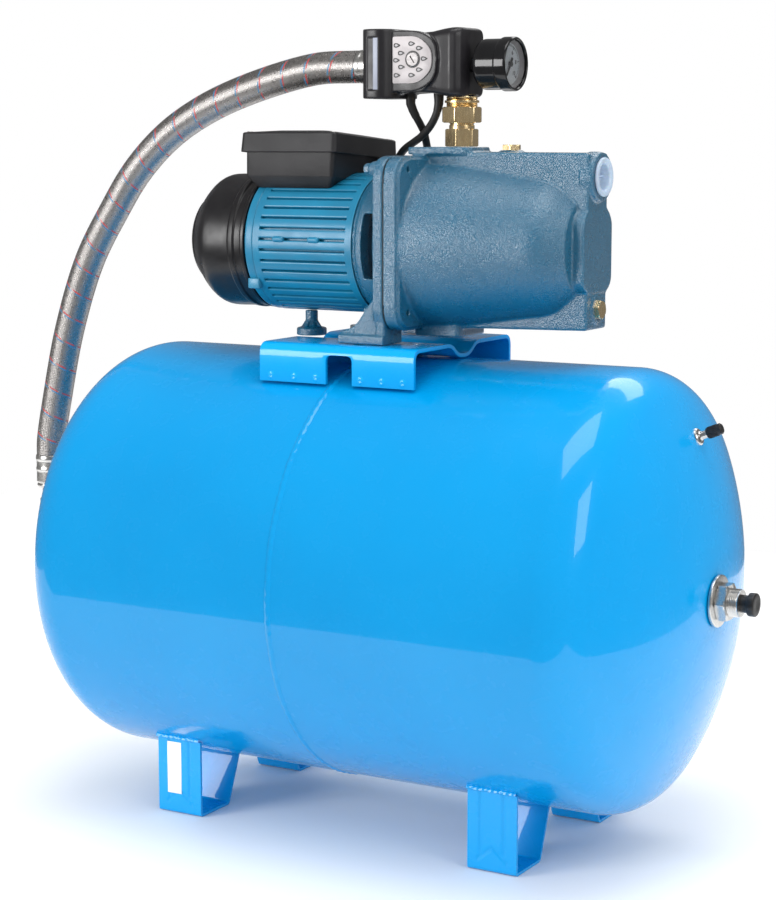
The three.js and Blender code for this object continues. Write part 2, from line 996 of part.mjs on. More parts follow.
const portAt = [dischargeX, 0, 0];
place(
  "union_fitting",
  cut(
    join(
      hexagon("z", 30, 714.4, 732.5, portAt, 0.12),
      rod("z", 12.8, 700, 716, portAt, 20),
      rod("z", 13, 732, 745, portAt, 24),
      rod("z", 15.6, 742, 745, portAt, 24),
    ),
    rod("z", 9.5, 690, 760, portAt, 16),
  ),
  brass,
);
place(
  "union_nut",
  cut(
    hexagon("z", 35.5, 738.5, 754.5, portAt, 0.12),
    rod("z", 13.4, 730, 741.6, portAt, 24),
    rod("z", 16.6, 741.6, 760, portAt, 24),
  ),
  brass,
);
place(
  "switch_manifold",
  cut(
    join(
      rod("x", 17.5, -14, 92, [0, 0, lineZ], 24),
      rod("x", 15, -30, -14, [0, 0, lineZ], 24),
      rod("z", 16.2, 745.4, lineZ, portAt, 24),
    ),
    rod("x", 11, -40, 80, [0, 0, lineZ], 16),
    rod("z", 10, 740, lineZ, portAt, 16),
    rod("x", 5.2, 78, 104, [0, 0, lineZ], 12),
  ),
  brass,
);
{
  const side = outline([
    [-13.5, 763, 6],
    [20, 763, 4],
    [64, 767],
    [98, 763, 6],
    [98, 834, 6],
    [64, 831],
    [20, 833, 4],
    [-13.5, 833, 6],
  ]);
  const trunk = plateY(side, -23, 23);
  const waist = plateY(
    outline([
      [10, 772, 5],
      [64, 772, 18],
      [70, 800],
      [64, 828, 18],
      [10, 828, 5],
    ]),
    -28,
    -20,
  );
  const head = plateZ(
    outline([
      [-13.5, -30, 5],
      [-5, -39, 5],
      [14, -39, 5],
      [21, -28, 4],
      [21, 25, 4],
      [-13.5, 25, 6],
    ]),
    763,
    833,
  );
  const lineBore = rod("x", 17.9, -40, 92.4, [0, 0, lineZ], 24);
  const neckBore = rod("z", 16.6, 740, lineZ, portAt, 24);
  const gaugeHole = rod("x", 6.6, 80, 120, [0, 0, lineZ], 12);
  const screwHole = rod("y", 8, -40, -19, [44, 0, 802], 20);
  const cableHoles = [25, 58].map((x) => rod("z", 4.4, 760, 774, [x, 0, 0], 12));
  place(
    "switch_body",
    cut(join(trunk, waist, head), lineBore, neckBore, gaugeHole, screwHole, ...cableHoles),
    black,
  );
}
place(
  "switch_plate",
  cut(
    plateY(
      outline([
        [20.5, 778, 2],
        [50, 778, 9],
        [64, 790, 6],
        [66, 801, 4],
        [64, 813, 6],
        [50, 825, 9],
        [20.5, 825, 2],
      ]),
      -29.8,
      -28.3,
    ),
    rod("y", 8.3, -40, -19, [44, 0, 802], 20),
  ),
  steel,
);
place(
  "adjust_screw",
  cut(
    turned("y", [[-31, 0], [-31, 7.4], [-20, 7.4], [-20, 0]], [44, 0, 802], 20),
    block([38.4, 49.6], [-32, -29.8], [801.2, 802.8]),
  ),
  steel,
);
place(
  "gauge_case",
  cut(
    turned(
      "x",
      [
        [82, 0],
        [82, 4.9],
        [104.3, 4.9],
        [104.3, 8],
        [gauge.x0, 8],
        [gauge.x0, 22],
        [gauge.x0 + 3, 25.4],
        [133, 25.4],
        [133, gauge.radius],
        [gauge.face, gauge.radius],
        [gauge.face, 24.6],
        [gauge.face - 5, 24.2],
        [gauge.face - 5, 22.6],
        [gauge.x0 + 3, 22.6],
        [gauge.x0 + 3, 0],
      ],
      [0, 0, lineZ],
      24,
    ),
    rod("x", 2, 80, 115, [0, 0, lineZ], 8),
  ),
  black,
);
place("gauge_dial", sleeve("x", 2, 22.3, 137, 138.2, [0, 0, lineZ], 24), white);
place(
  "gauge_pointer",
  (() => {
    const hand = plateX(
      outline([
        [-2.2, -7],
        [2.2, -7],
        [0.5, 17],
        [-0.5, 17],
      ]),
      139,
      139.8,
    ).rotate([150, 0, 0]);
    const arbor = turned("x", [[126, 0], [126, 1.2], [139, 1.2], [139, 2.6], [140.6, 2.6], [140.6, 0]], [0, 0, 0], 12);
    return join(hand, arbor).translate([0, 0, lineZ]);
  })(),
  black,
);
place("gauge_lens", rod("x", 24, gauge.face - 4.6, gauge.face - 2.6, [0, 0, lineZ], 24), cap);

// ---- hose --------------------------------------------------------------------------------
place(
  "hose_end_upper",
  sleeve("x", 15.4, 17.2, -34, -14.4, [0, 0, lineZ], 20),
  steel,
);
place(
  "hose_end_lower",
  turned(
    "z",
    [
      [300.4, 9],
      [300.4, 14],
      [306, 14],
      [306, 11],
      [318, 11],
      [320, 16.6],
      [325, 17.6],
      [339, 17.2],
      [357, 18.2],
      [357, 9],
      [300.4, 9],
    ],
    [elbowX, 0, 0],
    16,
  ),
  steel,
);
const hosePath = [
  [-34.5, 0, lineZ],
  [-46, 0, lineZ],
  [-90, 0, 795],
  [-175, 0, 775],
  [-236, 0, 752],
  [-284, 0, 724],
  [-326, 0, 686],
  [-359, 0, 642],
  [-395, 0, 585],
  [-426, 0, 505],
  [-447, 0, 421],
  [-455.6, 0, 380],
  [elbowX, 0, 368],
  [elbowX, 0, 357.5],
];
place("hose", tube(hosePath, 17, 30, 10), braid);

// ---- cords -------------------------------------------------------------------------------
const cordRadius = 4;
place(
  "motor_lead",
  tube(
    [
      [58, 0, 773.5],
      [58, 0, 766],
      [58, 0, 758],
      [55, 0, 747],
      [47, 3, 736],
      [33, 9, 725],
      [18, 17, 718],
      [3, 25, 711],
      [-9, 32, 701],
      [-15, 35, 695],
      [-21.7, 35.6, 693.7],
    ],
    cordRadius,
    18,
    8,
  ),
  black,
);
const coil = { x: 60, y: 338, inner: 36, middle: 44, outer: 52, height: 24.4 };
place(
  "mains_lead",
  tube(
    [
      [25, 0, 773.5],
      [25, 0, 766],
      [25, 0, 758],
      [28, 6, 745],
      [30, 18, 731],
      [26, 32, 717],
      [18, 54, 700],
      [14, 84, 675],
      [12, 106, 630],
      [12, 117, 570],
      [12, 126, 510],
      [14, 152, 466],
      [16, 196, 404],
      [18, 231, 320],
      [19, 242, 240],
      [19, 250, 150],
      [17, 257, 80],
      [14, 268, 38],
      [12.6, 284, 12],
      [12, 297, 5],
      [12, 309, 4.2],
    ],
    cordRadius,
    56,
    8,
  ),
  black,
);
place(
  "mains_coil",
  turned(
    "z",
    [
      [0.1, coil.inner],
      [0.1, coil.outer],
      [coil.height, coil.outer],
      [coil.height, coil.inner],
      [0.1, coil.inner],
    ],
    [coil.x, coil.y, 0],
    24,
  ),
  black,
);
{
  const at = [30, coil.y + coil.middle, 18.6];
  const profile = [[64.5, 0], [64.5, 4.4], [88, 6.5], [100, 15], [110, 18.4], [122, 18.4], [122, 0]];
  const grip = turned("x", profile, at, 16);
  const pins = [-9.5, 9.5].map((y) => rod("x", 2.4, 116, 141, [at[0], at[1] + y, at[2]], 8));
  place("mains_plug", join(grip, ...pins), black);
}

export default set;
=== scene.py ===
"""Water pressure set: a jet pump on a horizontal membrane tank, with hose, switch and gauge.

Lengths are drawn in millimetres about the tank's middle and turned to metres when a mesh is made.
X runs along the shaft and the tank, -Y is the front, Z is up.
"""

import math

import bmesh
import bpy
from mathutils import Matrix, Vector

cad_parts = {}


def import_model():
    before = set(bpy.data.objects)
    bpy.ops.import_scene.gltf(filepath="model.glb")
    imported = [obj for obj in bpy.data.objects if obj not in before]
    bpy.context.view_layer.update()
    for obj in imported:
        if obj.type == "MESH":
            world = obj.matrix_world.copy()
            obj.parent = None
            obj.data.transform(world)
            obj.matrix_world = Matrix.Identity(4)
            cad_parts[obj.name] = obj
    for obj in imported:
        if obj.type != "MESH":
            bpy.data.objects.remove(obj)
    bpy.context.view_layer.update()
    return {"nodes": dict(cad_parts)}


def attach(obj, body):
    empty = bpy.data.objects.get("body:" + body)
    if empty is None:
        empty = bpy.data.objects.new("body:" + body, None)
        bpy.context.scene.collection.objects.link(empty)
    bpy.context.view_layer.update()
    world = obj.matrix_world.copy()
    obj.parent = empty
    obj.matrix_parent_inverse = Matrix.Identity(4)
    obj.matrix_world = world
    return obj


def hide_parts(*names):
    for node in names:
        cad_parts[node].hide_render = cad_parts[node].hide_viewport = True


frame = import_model()
scene = bpy.context.scene

# ---- driving dimensions, in millimetres ---------------------------------------------------

MM = 0.001
TANK_MIDDLE = Vector((32.5, 0, 0))
AXIS_Z = 614  # the pump shaft
LINE_Z = 796.5  # the line through hose, switch and gauge
TANK_Z = 272.5
TANK_RADIUS = 225
TANK_END = 372.1  # half the vessel's length over its domes
TANK_CROWN = 410  # radius of the domes
TANK_KNUCKLE = 52  # radius between dome and cylinder
TANK_STRAIGHT = 275.5  # half the straight length
DISCHARGE_X = 85
PRIMING_X = 142
SUCTION_Z = 685
DRAIN_Z = 554
ELBOW_X = -457
FRONT_X = 239
MOTOR_ROLL = math.radians(-4)
VALVE_OUT = Vector((0.921, 0.053, 0.385)).normalized()
HOSE_DIAMETER = 34
LEAD_DIAMETER = 8
TAU = 2 * math.pi
TANK_AT = (0, 0, TANK_Z)
SHAFT_AT = (0, 0, AXIS_Z)
PORT_AT = (DISCHARGE_X, 0, 0)
LINE_AT = (0, 0, LINE_Z)
SUCTION_AT = (0, 0, SUCTION_Z)
DRAIN_AT = (0, 0, DRAIN_Z)
PRIMING_AT = (PRIMING_X, 0, 0)
SCREW_AT = (44, 0, 802)

# ---- camera -------------------------------------------------------------------------------


def world(p):
    """A point in drawing millimetres as a point in metres."""
    return (Vector(p) + TANK_MIDDLE) * MM


def look_from(place, target):
    """An object's matrix at place, with its -Z axis towards target."""
    turn = (Vector(target) - Vector(place)).to_track_quat("-Z", "Y")
    return Matrix.Translation(place) @ turn.to_matrix().to_4x4()


camera_data = bpy.data.cameras.new("camera")
camera_data.lens = 86.4
camera_data.sensor_width = 36
camera_data.clip_end = 50
camera = bpy.data.objects.new("camera", camera_data)
camera.matrix_world = look_from((1.1699, -1.9631, 0.7239), (0.0304, 0, 0.3952))
scene.collection.objects.link(camera)
scene.camera = camera

# ---- materials ----------------------------------------------------------------------------


class Nodes:
    """A material's node tree with short calls for the nodes used here.

    Each call takes numbers, colours or sockets, and returns the new node's output.
    """

    def __init__(self, name):
        self.material = bpy.data.materials.new(name)
        self.material.use_nodes = True
        self.tree = self.material.node_tree
        self.shader = self.tree.nodes["Principled BSDF"]
        self.place = self.tree.nodes.new("ShaderNodeTexCoord")

    def put(self, socket, value):
        """Links value to the socket if it is a socket, or else sets it there."""
        if isinstance(value, bpy.types.NodeSocket):
            self.tree.links.new(value, socket)
        else:
            socket.default_value = value

    def set(self, **values):
        """Puts values on the shader's sockets, named with _ for each space."""
        for name, value in values.items():
            self.put(self.shader.inputs[name.replace("_", " ")], value)

    def math(self, operation, a, b=0.0):
        node = self.tree.nodes.new("ShaderNodeMath")
        node.operation = operation
        for socket, value in zip(node.inputs, (a, b)):
            self.put(socket, value)
        return node.outputs[0]

    def times(self, a, b):
        return self.math("MULTIPLY", a, b)

    def plus(self, a, b):
        return self.math("ADD", a, b)

    def fraction(self, a):
        return self.math("FRACT", a)

    def between(self, value, low, high):
        """1 where value lies between low and high, and 0 elsewhere."""
        above = self.math("GREATER_THAN", value, low)
        return self.times(above, self.math("LESS_THAN", value, high))

    def noise(self, scale, detail=3.0, roughness=0.5, stretch=None):
        node = self.tree.nodes.new("ShaderNodeTexNoise")
        node.inputs["Scale"].default_value = scale
        node.inputs["Detail"].default_value = detail
        node.inputs["Roughness"].default_value = roughness
        self.put(node.inputs["Vector"], self.point(stretch))
        return node.outputs["Fac"]

    def point(self, stretch=None):
        """The place on the object, drawn out by the three factors of stretch."""
        if stretch is None:
            return self.place.outputs["Object"]
        node = self.tree.nodes.new("ShaderNodeMapping")
        node.inputs["Scale"].default_value = stretch
        self.put(node.inputs["Vector"], self.place.outputs["Object"])
        return node.outputs[0]

    def span(self, value, low, high, to_low=0.0, to_high=1.0):
        """Maps low..high to to_low..to_high, clamped."""
        node = self.tree.nodes.new("ShaderNodeMapRange")
        node.inputs["From Min"].default_value = low
        node.inputs["From Max"].default_value = high
        node.inputs["To Min"].default_value = to_low
        node.inputs["To Max"].default_value = to_high
        self.put(node.inputs["Value"], value)
        return node.outputs[0]

    def mix(self, factor, a, b):
        node = self.tree.nodes.new("ShaderNodeMix")
        node.data_type = "RGBA"
        self.put(node.inputs[0], factor)
        for socket, colour in ((node.inputs[6], a), (node.inputs[7], b)):
            self.put(socket, (*colour, 1) if isinstance(colour, tuple) else colour)
        return node.outputs[2]

    def bump(self, height, distance, strength=1.0, after=None):
        node = self.tree.nodes.new("ShaderNodeBump")
        node.inputs["Distance"].default_value = distance
        node.inputs["Strength"].default_value = strength
        self.put(node.inputs["Height"], height)
        if after is not None:
            self.put(node.inputs["Normal"], after)
        return node.outputs[0]

    def edges(self):
        """About 1 along convex edges and 0 elsewhere."""
        geometry = self.tree.nodes.new("ShaderNodeNewGeometry")
        return self.span(geometry.outputs["Pointiness"], 0.52, 0.62)


def gloss_paint(name, colour, deep):
    """Stoved enamel: clear reflections, a faint orange peel and fine dust."""
    n = Nodes(name)
    broad = n.noise(5, 2)
    dust = n.span(n.noise(900, 2, 0.7), 0.66, 0.78)
    tone = n.mix(n.span(broad, 0.3, 0.7), colour, deep)
    n.set(Base_Color=n.mix(n.times(dust, 0.1), tone, (0.3, 0.6, 0.9)))
    n.set(Roughness=n.span(n.noise(40, 3), 0.3, 0.7, 0.22, 0.3))
    n.set(Coat_Weight=0.6, Coat_Roughness=0.02, Specular_IOR_Level=0.12)
    peel = n.bump(n.noise(120, 2, 0.4), 0.0003, 0.08)
    skin = n.bump(n.noise(14, 1), 0.002, 0.04, peel)
    n.set(Normal=skin, Coat_Normal=skin)
    return n.material


def hammered_paint(name, colour, deep):
    """Thick gloss paint on a rough casting: every grain of the skin catches the light."""
    n = Nodes(name)
    grain = n.noise(650, 2, 0.6)
    # Painted shade: the grain's pits, low in the bump, take the deeper colour and its crowns the
    # lighter one.
    tone = n.mix(n.span(grain, 0.36, 0.64), deep, colour)
    pale = n.mix(n.times(n.edges(), 0.3), tone, (0.16, 0.4, 0.55))
    n.set(Base_Color=n.mix(n.span(n.noise(18, 3), 0.35, 0.75, 0, 0.2), pale, deep))
    n.set(Roughness=n.span(n.noise(70, 3), 0.3, 0.7, 0.24, 0.34))
    n.set(Coat_Weight=1.0, Coat_Roughness=0.07, Coat_IOR=1.75, Specular_IOR_Level=0.6)
    skin = n.bump(grain, 0.0009)
    n.set(Normal=skin, Coat_Normal=skin)
    return n.material


def satin_paint(name, colour, deep):
    """Thinner paint on die-cast metal, speckled and paler along its edges."""
    n = Nodes(name)
    tone = n.mix(n.span(n.noise(30, 3), 0.3, 0.7), colour, deep)
    speck = n.span(n.noise(700, 2, 0.6), 0.62, 0.75, 0, 0.35)
    pale = n.mix(n.times(n.edges(), 0.3), tone, (0.25, 0.5, 0.62))
    n.set(Base_Color=n.mix(speck, pale, deep))
    n.set(Roughness=n.span(n.noise(60, 3), 0.3, 0.7, 0.29, 0.41))
    n.set(Coat_Weight=0.2, Coat_Roughness=0.2, Specular_IOR_Level=0.4)
    n.set(Normal=n.bump(n.noise(420, 3, 0.55), 0.0006, 0.25))
    return n.material


def plastic(name, colour, rough, grain=1400, strength=0.3, spread=0.08, height=0.0002):
    """A moulded or sprayed surface with a fine grain; rough varies by spread either way."""
    n = Nodes(name)
    lighter = tuple(min(1, c * 1.5 + 0.004) for c in colour)
    n.set(Base_Color=n.mix(n.span(n.noise(25, 4), 0.35, 0.7), colour, lighter))
    n.set(Roughness=n.span(n.noise(55, 4), 0.3, 0.7, rough - spread, rough + spread))
    n.set(Normal=n.bump(n.noise(grain, 2, 0.6), height, strength), Specular_IOR_Level=0.5)
    return n.material


def metal(name, colour, dark, rough, grain=(60, 60, 60), strength=0.15, spread=0.08):
    """Turned or plated metal; grain stretches the fine tool marks."""
    n = Nodes(name)
    marks = n.noise(30, 4, 0.6, stretch=grain)
    stain = n.span(n.noise(45, 4, 0.6), 0.45, 0.75)
    n.set(Base_Color=n.mix(n.times(stain, 0.5), colour, dark), Metallic=1.0)
    n.set(Roughness=n.span(marks, 0.3, 0.7, rough - spread, rough + spread))
    n.set(Normal=n.bump(marks, 0.0003, strength))
    return n.material


def braid_material(name, cells_per_metre, strands, tracer_pitch):
    """Woven wire round a hose: two sets of strands crossing over and under, with two tracers.

    The mesh's UV map gives the distance along the hose in metres and the turn about it. A red and
    a blue wire run side by side round the hose, once in tracer_pitch, and dip under in places.
    """
    n = Nodes(name)
    split = n.tree.nodes.new("ShaderNodeSeparateXYZ")
    n.put(split.inputs[0], n.place.outputs["UV"])
    length, angle = split.outputs[0], split.outputs[1]
    run = n.times(length, cells_per_metre)
    turn = n.times(angle, strands)
    right = n.plus(run, turn)
    left = n.math("SUBTRACT", run, turn)
    cell = n.plus(n.math("FLOOR", right), n.math("FLOOR", left))
    over = n.math("ABSOLUTE", n.math("MODULO", cell, 2.0))
    domes = []
    for strand, shown in ((right, over), (left, n.math("SUBTRACT", 1.0, over))):
        dome = n.math("SINE", n.times(n.fraction(strand), math.pi))
        domes.append(n.times(shown, dome))
    height = n.plus(*domes)
    # Painted shade: the steel is darker down the sides of each strand, where it dips into the
    # crevices between wires, and lighter on its crown.
    steel_with_painted_shade = n.mix(n.span(height, 0.1, 0.85), (0.1, 0.095, 0.09), (0.5, 0.475, 0.46))
    helix = n.fraction(n.plus(n.math("DIVIDE", length, tracer_pitch), angle))
    weave = n.plus(n.times(angle, 9), n.times(length, 90))
    seen = n.math("GREATER_THAN", n.fraction(weave), 0.3)
    red = n.times(seen, n.between(helix, 0.02, 0.07))
    blue = n.times(seen, n.between(helix, 0.1, 0.15))
    with_red = n.mix(n.times(red, 0.9), steel_with_painted_shade, (0.5, 0.02, 0.03))
    coloured = n.mix(n.times(blue, 0.9), with_red, (0.01, 0.17, 0.36))
    n.set(Base_Color=coloured, Metallic=n.math("SUBTRACT", 0.95, n.math("MAXIMUM", red, blue)))
    n.set(Roughness=n.span(n.noise(300, 2), 0.3, 0.7, 0.24, 0.34))
    n.set(Normal=n.bump(height, 0.0003, 0.45))
    return n.material


def clear_glass(name):
    n = Nodes(name)
    n.set(Base_Color=(0.97, 0.99, 1, 1), Roughness=0.03, IOR=1.46, Transmission_Weight=1.0)
    n.set(Normal=n.bump(n.noise(60, 2), 0.0002, 0.05))
    return n.material


BLUE = gloss_paint("tank_enamel", (0.0, 0.34, 0.76), (0.0, 0.31, 0.71))
CAST = hammered_paint("cast_hammered_paint", (0.006, 0.118, 0.215), (0.004, 0.086, 0.165))
MOTOR = satin_paint("motor_satin_paint", (0.008, 0.19, 0.335), (0.006, 0.158, 0.285))
BLACK_GLOSS = plastic("fan_cover_paint", (0.005, 0.0045, 0.0055), 0.34, 500, 0.08)
BLACK_BOX = plastic("box_textured_plastic", (0.008, 0.0075, 0.009), 0.38, 2200, 0.6, 0.04, 0.0004)
BLACK_SWITCH = plastic("switch_plastic", (0.009, 0.0082, 0.01), 0.36, 1600, 0.25)
BLACK_PART = plastic("black_moulding", (0.008, 0.0075, 0.008), 0.42)
BLACK_GAUGE = plastic("gauge_enamel", (0.003, 0.003, 0.0035), 0.12, 800, 0.06, 0.03)
RUBBER = plastic("rubber_sheath", (0.01, 0.009, 0.009), 0.48, 900, 0.3)
BRASS = metal("yellow_brass", (1.0, 0.78, 0.45), (0.94, 0.64, 0.3), 0.26, (14, 14, 3), 0.03, 0.05)
ZINC = metal("bright_zinc", (0.7, 0.69, 0.67), (0.4, 0.38, 0.36), 0.28)
SILVER = plastic("silver_paint", (0.36, 0.335, 0.34), 0.42, 1800, 0.12)
SCREW = metal("dull_screw", (0.42, 0.4, 0.4), (0.3, 0.29, 0.29), 0.5, (4, 60, 60), 0.15)
WINDING = metal("varnished_winding", (0.45, 0.17, 0.07), (0.12, 0.05, 0.03), 0.4, (4, 60, 60))
WHITE = plastic("white_moulding", (0.72, 0.71, 0.68), 0.4, 900, 0.1)
LABEL = plastic("white_label", (0.8, 0.8, 0.8), 0.45, 1200, 0.08)
DISPLAY = plastic("grey_label", (0.22, 0.24, 0.3), 0.35, 1200, 0.08)
MARK_GREY = plastic("mark_centre", (0.3, 0.29, 0.3), 0.5)
DIAL = plastic("dial_enamel", (0.8, 0.85, 0.9), 0.38, 900, 0.05)
INK = plastic("dial_ink", (0.01, 0.01, 0.012), 0.5)
MILKY = plastic("milky_cap", (0.36, 0.43, 0.53), 0.28, 900, 0.08)
MILKY.node_tree.nodes["Principled BSDF"].inputs["Subsurface Weight"].default_value = 0.12
BRAID = braid_material("steel_braid", 520.0, 56, 0.03)
GLASS = clear_glass("clear_lens")

# ---- mesh helpers -------------------------------------------------------------------------

AXES = {
    "x": (Vector((1, 0, 0)), Vector((0, 1, 0)), Vector((0, 0, 1))),
    "y": (Vector((0, 1, 0)), Vector((0, 0, 1)), Vector((1, 0, 0))),
    "z": (Vector((0, 0, 1)), Vector((1, 0, 0)), Vector((0, 1, 0))),
}


def directions(axis):
    """Three square directions, the first along axis, which is x, y, z or a vector."""
    if isinstance(axis, str):
        return AXES[axis]
    first = Vector(axis).normalized()
    second = first.cross(Vector((0, 1, 0))).normalized()
    return first, second, first.cross(second)


def piece(name, verts, faces, material, body="set", hides=(), angle=35, uvs=None):
    """Makes a mesh object from drawing points, smooth except along edges sharper than angle."""
    mesh = bpy.data.meshes.new(name)
    mesh.from_pydata([world(v) for v in verts], [], faces)
    obj = bpy.data.objects.new(name, mesh)
    scene.collection.objects.link(obj)
    if uvs is not None:
        layer = mesh.uv_layers.new(name="UVMap")
        for loop, uv in zip(layer.data, (uv for face in uvs for uv in face)):
            loop.uv = uv
    return dress(obj, material, body, hides, angle)


def dress(obj, material, body="set", hides=(), angle=35):
    """Closes, shades and paints a mesh object, and fixes it to its body."""
    mesh = obj.data
    bm = bmesh.new()
    bm.from_mesh(mesh)
    bmesh.ops.remove_doubles(bm, verts=bm.verts, dist=1e-6)
    bmesh.ops.recalc_face_normals(bm, faces=bm.faces)
    bm.to_mesh(mesh)
    bm.free()
    mesh.materials.clear()
    mesh.materials.append(material)
    for polygon in mesh.polygons:
        polygon.use_smooth = True
    mesh.set_sharp_from_angle(angle=math.radians(angle))
    if body is not None:
        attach(obj, body)
    if hides:
        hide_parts(*hides)
    return obj


def apply_modifiers(obj):
    """Makes the object's modified shape its mesh."""
    shown = bpy.context.evaluated_depsgraph_get()
    shown.update()
    mesh = bpy.data.meshes.new_from_object(obj.evaluated_get(shown))
    old = obj.data
    obj.modifiers.clear()
    obj.data = mesh
    bpy.data.meshes.remove(old)
    return obj


def soft(points, closed=False, steps=5):
    """A path of [u, v] or [u, v, radius] points with its corners rounded by those radii."""
    out = []
    count = len(points)
    for i, point in enumerate(points):
        at = Vector(point[:2])
        radius = point[2] if len(point) > 2 else 0
        inner = closed or 0 < i < count - 1
        if not radius or not inner:
            out.append(at)
            continue
        before = Vector(points[i - 1][:2]) - at
        after = Vector(points[(i + 1) % count][:2]) - at
        start = at + before.normalized() * min(radius, before.length * 0.5)
        end = at + after.normalized() * min(radius, after.length * 0.5)
        for k in range(steps + 1):
            t = k / steps
            out.append(start * (1 - t) ** 2 + at * 2 * t * (1 - t) + end * t * t)
    return out


def polar(name, axis, places, radius, at, material, segments=96, **kw):
    """A closed round solid whose radius is a function of its place along the axis and angle."""
    along, side, up = directions(axis)
    at = Vector(at)
    verts = []
    for place in places:
        for i in range(segments):
            turn = TAU * i / segments
            r = max(radius(place, turn), 0.01)
            verts.append(at + along * place + (side * math.cos(turn) + up * math.sin(turn)) * r)
    faces = []
    for k in range(len(places) - 1):
        for i in range(segments):
            j = (i + 1) % segments
            a, b = k * segments, (k + 1) * segments
            faces.append((a + i, a + j, b + j, b + i))
    faces.append(tuple(reversed(range(segments))))
    faces.append(tuple(range((len(places) - 1) * segments, len(places) * segments)))
    return piece(name, verts, faces, material, **kw)


def lathe(name, axis, profile, at, material, segments=96, closed=False, steps=4, **kw):
    """A turned piece from a profile of [place, radius] or [place, radius, rounding] points."""
    along, side, up = directions(axis)
    at = Vector(at)
    points = soft(profile, closed, steps)
    verts = []
    rings = []
    for point in points:
        if point.y < 1e-6:
            rings.append([len(verts)])
            verts.append(at + along * point.x)
            continue
        rings.append(list(range(len(verts), len(verts) + segments)))
        for i in range(segments):
            turn = TAU * i / segments
            out = side * math.cos(turn) + up * math.sin(turn)
            verts.append(at + along * point.x + out * point.y)
    if closed:
        rings.append(rings[0])
    faces = []
    for a, b in zip(rings, rings[1:]):
        for i in range(segments):
            j = (i + 1) % segments
            quad = [a[i % len(a)], a[j % len(a)], b[j % len(b)], b[i % len(b)]]
            face = tuple(dict.fromkeys(quad))
            if len(face) > 2:
                faces.append(face)
    return piece(name, verts, faces, material, **kw)


def loft_mesh(name, axis, sections):
    """An unpainted solid through sections of (place, outline), each with as many points."""
    lift = {
        "x": lambda u, v, w: (w, u, v),
        "y": lambda u, v, w: (u, w, v),
        "z": lambda u, v, w: (u, v, w),
    }[axis]
    count = len(sections[0][1])
    verts = [lift(p[0], p[1], w) for w, outline in sections for p in outline]
    faces = []
    for k in range(len(sections) - 1):
        a, b = k * count, (k + 1) * count
        for i in range(count):
            j = (i + 1) % count
            faces.append((a + i, a + j, b + j, b + i))
    last = (len(sections) - 1) * count
    faces += [tuple(reversed(range(count))), tuple(range(last, last + count))]
    mesh = bpy.data.meshes.new(name)
    mesh.from_pydata([world(v) for v in verts], [], faces)
    bm = bmesh.new()
    bm.from_mesh(mesh)
    bmesh.ops.recalc_face_normals(bm, faces=bm.faces)
    bm.to_mesh(mesh)
    bm.free()
    obj = bpy.data.objects.new(name, mesh)
    scene.collection.objects.link(obj)
    return obj


def prism_mesh(name, axis, outline, a, b):
    """An unpainted prism of a flat outline, which is YZ for x, XZ for y and XY for z."""
    return loft_mesh(name, axis, [(a, outline), (b, outline)])


def rectangle(u0, u1, v0, v1, radius):
    """A rounded rectangle's outline."""
    corners = [[u0, v0, radius], [u1, v0, radius], [u1, v1, radius], [u0, v1, radius]]
    return soft(corners, closed=True, steps=8)


def bevel(obj, width, segments=3, angle=30):
    """Rounds the edges sharper than angle, by a width in millimetres."""
    modifier = obj.modifiers.new("bevel", "BEVEL")
    modifier.width = width * MM
    modifier.segments = segments
    modifier.limit_method = "ANGLE"
    modifier.angle_limit = math.radians(angle)
    return apply_modifiers(obj)


def prism(name, axis, outline, a, b, material, edge=0.8, **kw):
    """A finished prism with rounded edges."""
    obj = prism_mesh(name, axis, outline, a, b)
    bevel(obj, edge)
    return dress(obj, material, **kw)


def corners_of(u, v):
    return [(u[0], v[0]), (u[1], v[0]), (u[1], v[1]), (u[0], v[1])]


def box(name, x, y, z, material, edge):
    """A finished block between two x, two y and two z."""
    return prism(name, "z", corners_of(x, y), z[0], z[1], material, edge)


def bare_box(name, x, y, z):
    """A block to cast or cut with."""
    return prism_mesh(name, "z", corners_of(x, y), z[0], z[1])


def bare_lathe(name, axis, profile, at, segments=96):
    """A turned solid to cast or cut with."""
    return lathe(name, axis, profile, at, INK, segments, body=None)


def rod(axis, radius, a, b, at, segments=32):
    """A plain round rod from a to b along the axis, to cast or cut with."""
    return bare_lathe("rod", axis, [[a, 0], [a, radius], [b, radius], [b, 0]], at, segments)


def joined(name, objs):
    """Several loose meshes as one mesh object."""
    bm = bmesh.new()
    for obj in objs:
        copy = obj.data.copy()
        copy.transform(obj.matrix_world)
        bm.from_mesh(copy)
        bpy.data.meshes.remove(copy)
        bpy.data.objects.remove(obj)
    mesh = bpy.data.meshes.new(name)
    bm.to_mesh(mesh)
    bm.free()
    made = bpy.data.objects.new(name, mesh)
    scene.collection.objects.link(made)
    return made


def carve(obj, tools):
    """Cuts the tools out of obj, and removes them."""
    tool = joined(obj.name + "_tool", tools)
    modifier = obj.modifiers.new("carve", "BOOLEAN")
    modifier.operation = "DIFFERENCE"
    modifier.solver = "EXACT"
    modifier.use_self = True
    modifier.object = tool
    apply_modifiers(obj)
    bpy.data.objects.remove(tool)
    return obj


def fuse(obj, voxel):
    """Turns overlapping solids into one even skin, whose cells are voxel millimetres wide."""
    remesh = obj.modifiers.new("fuse", "REMESH")
    remesh.mode = "VOXEL"
    remesh.voxel_size = voxel * MM
    apply_modifiers(obj)


def cast(name, parts, tools, voxel, smooth, material, **kw):
    """A casting: overlapping solids fused into one skin with small fillets, less the tools."""
    obj = joined(name, parts)
    fuse(obj, voxel)
    if tools:
        carve(obj, tools)
        fuse(obj, voxel)
    relax = obj.modifiers.new("fillet", "SMOOTH")
    relax.factor = 0.5
    relax.iterations = smooth
    apply_modifiers(obj)
    return dress(obj, material, angle=60, **kw)


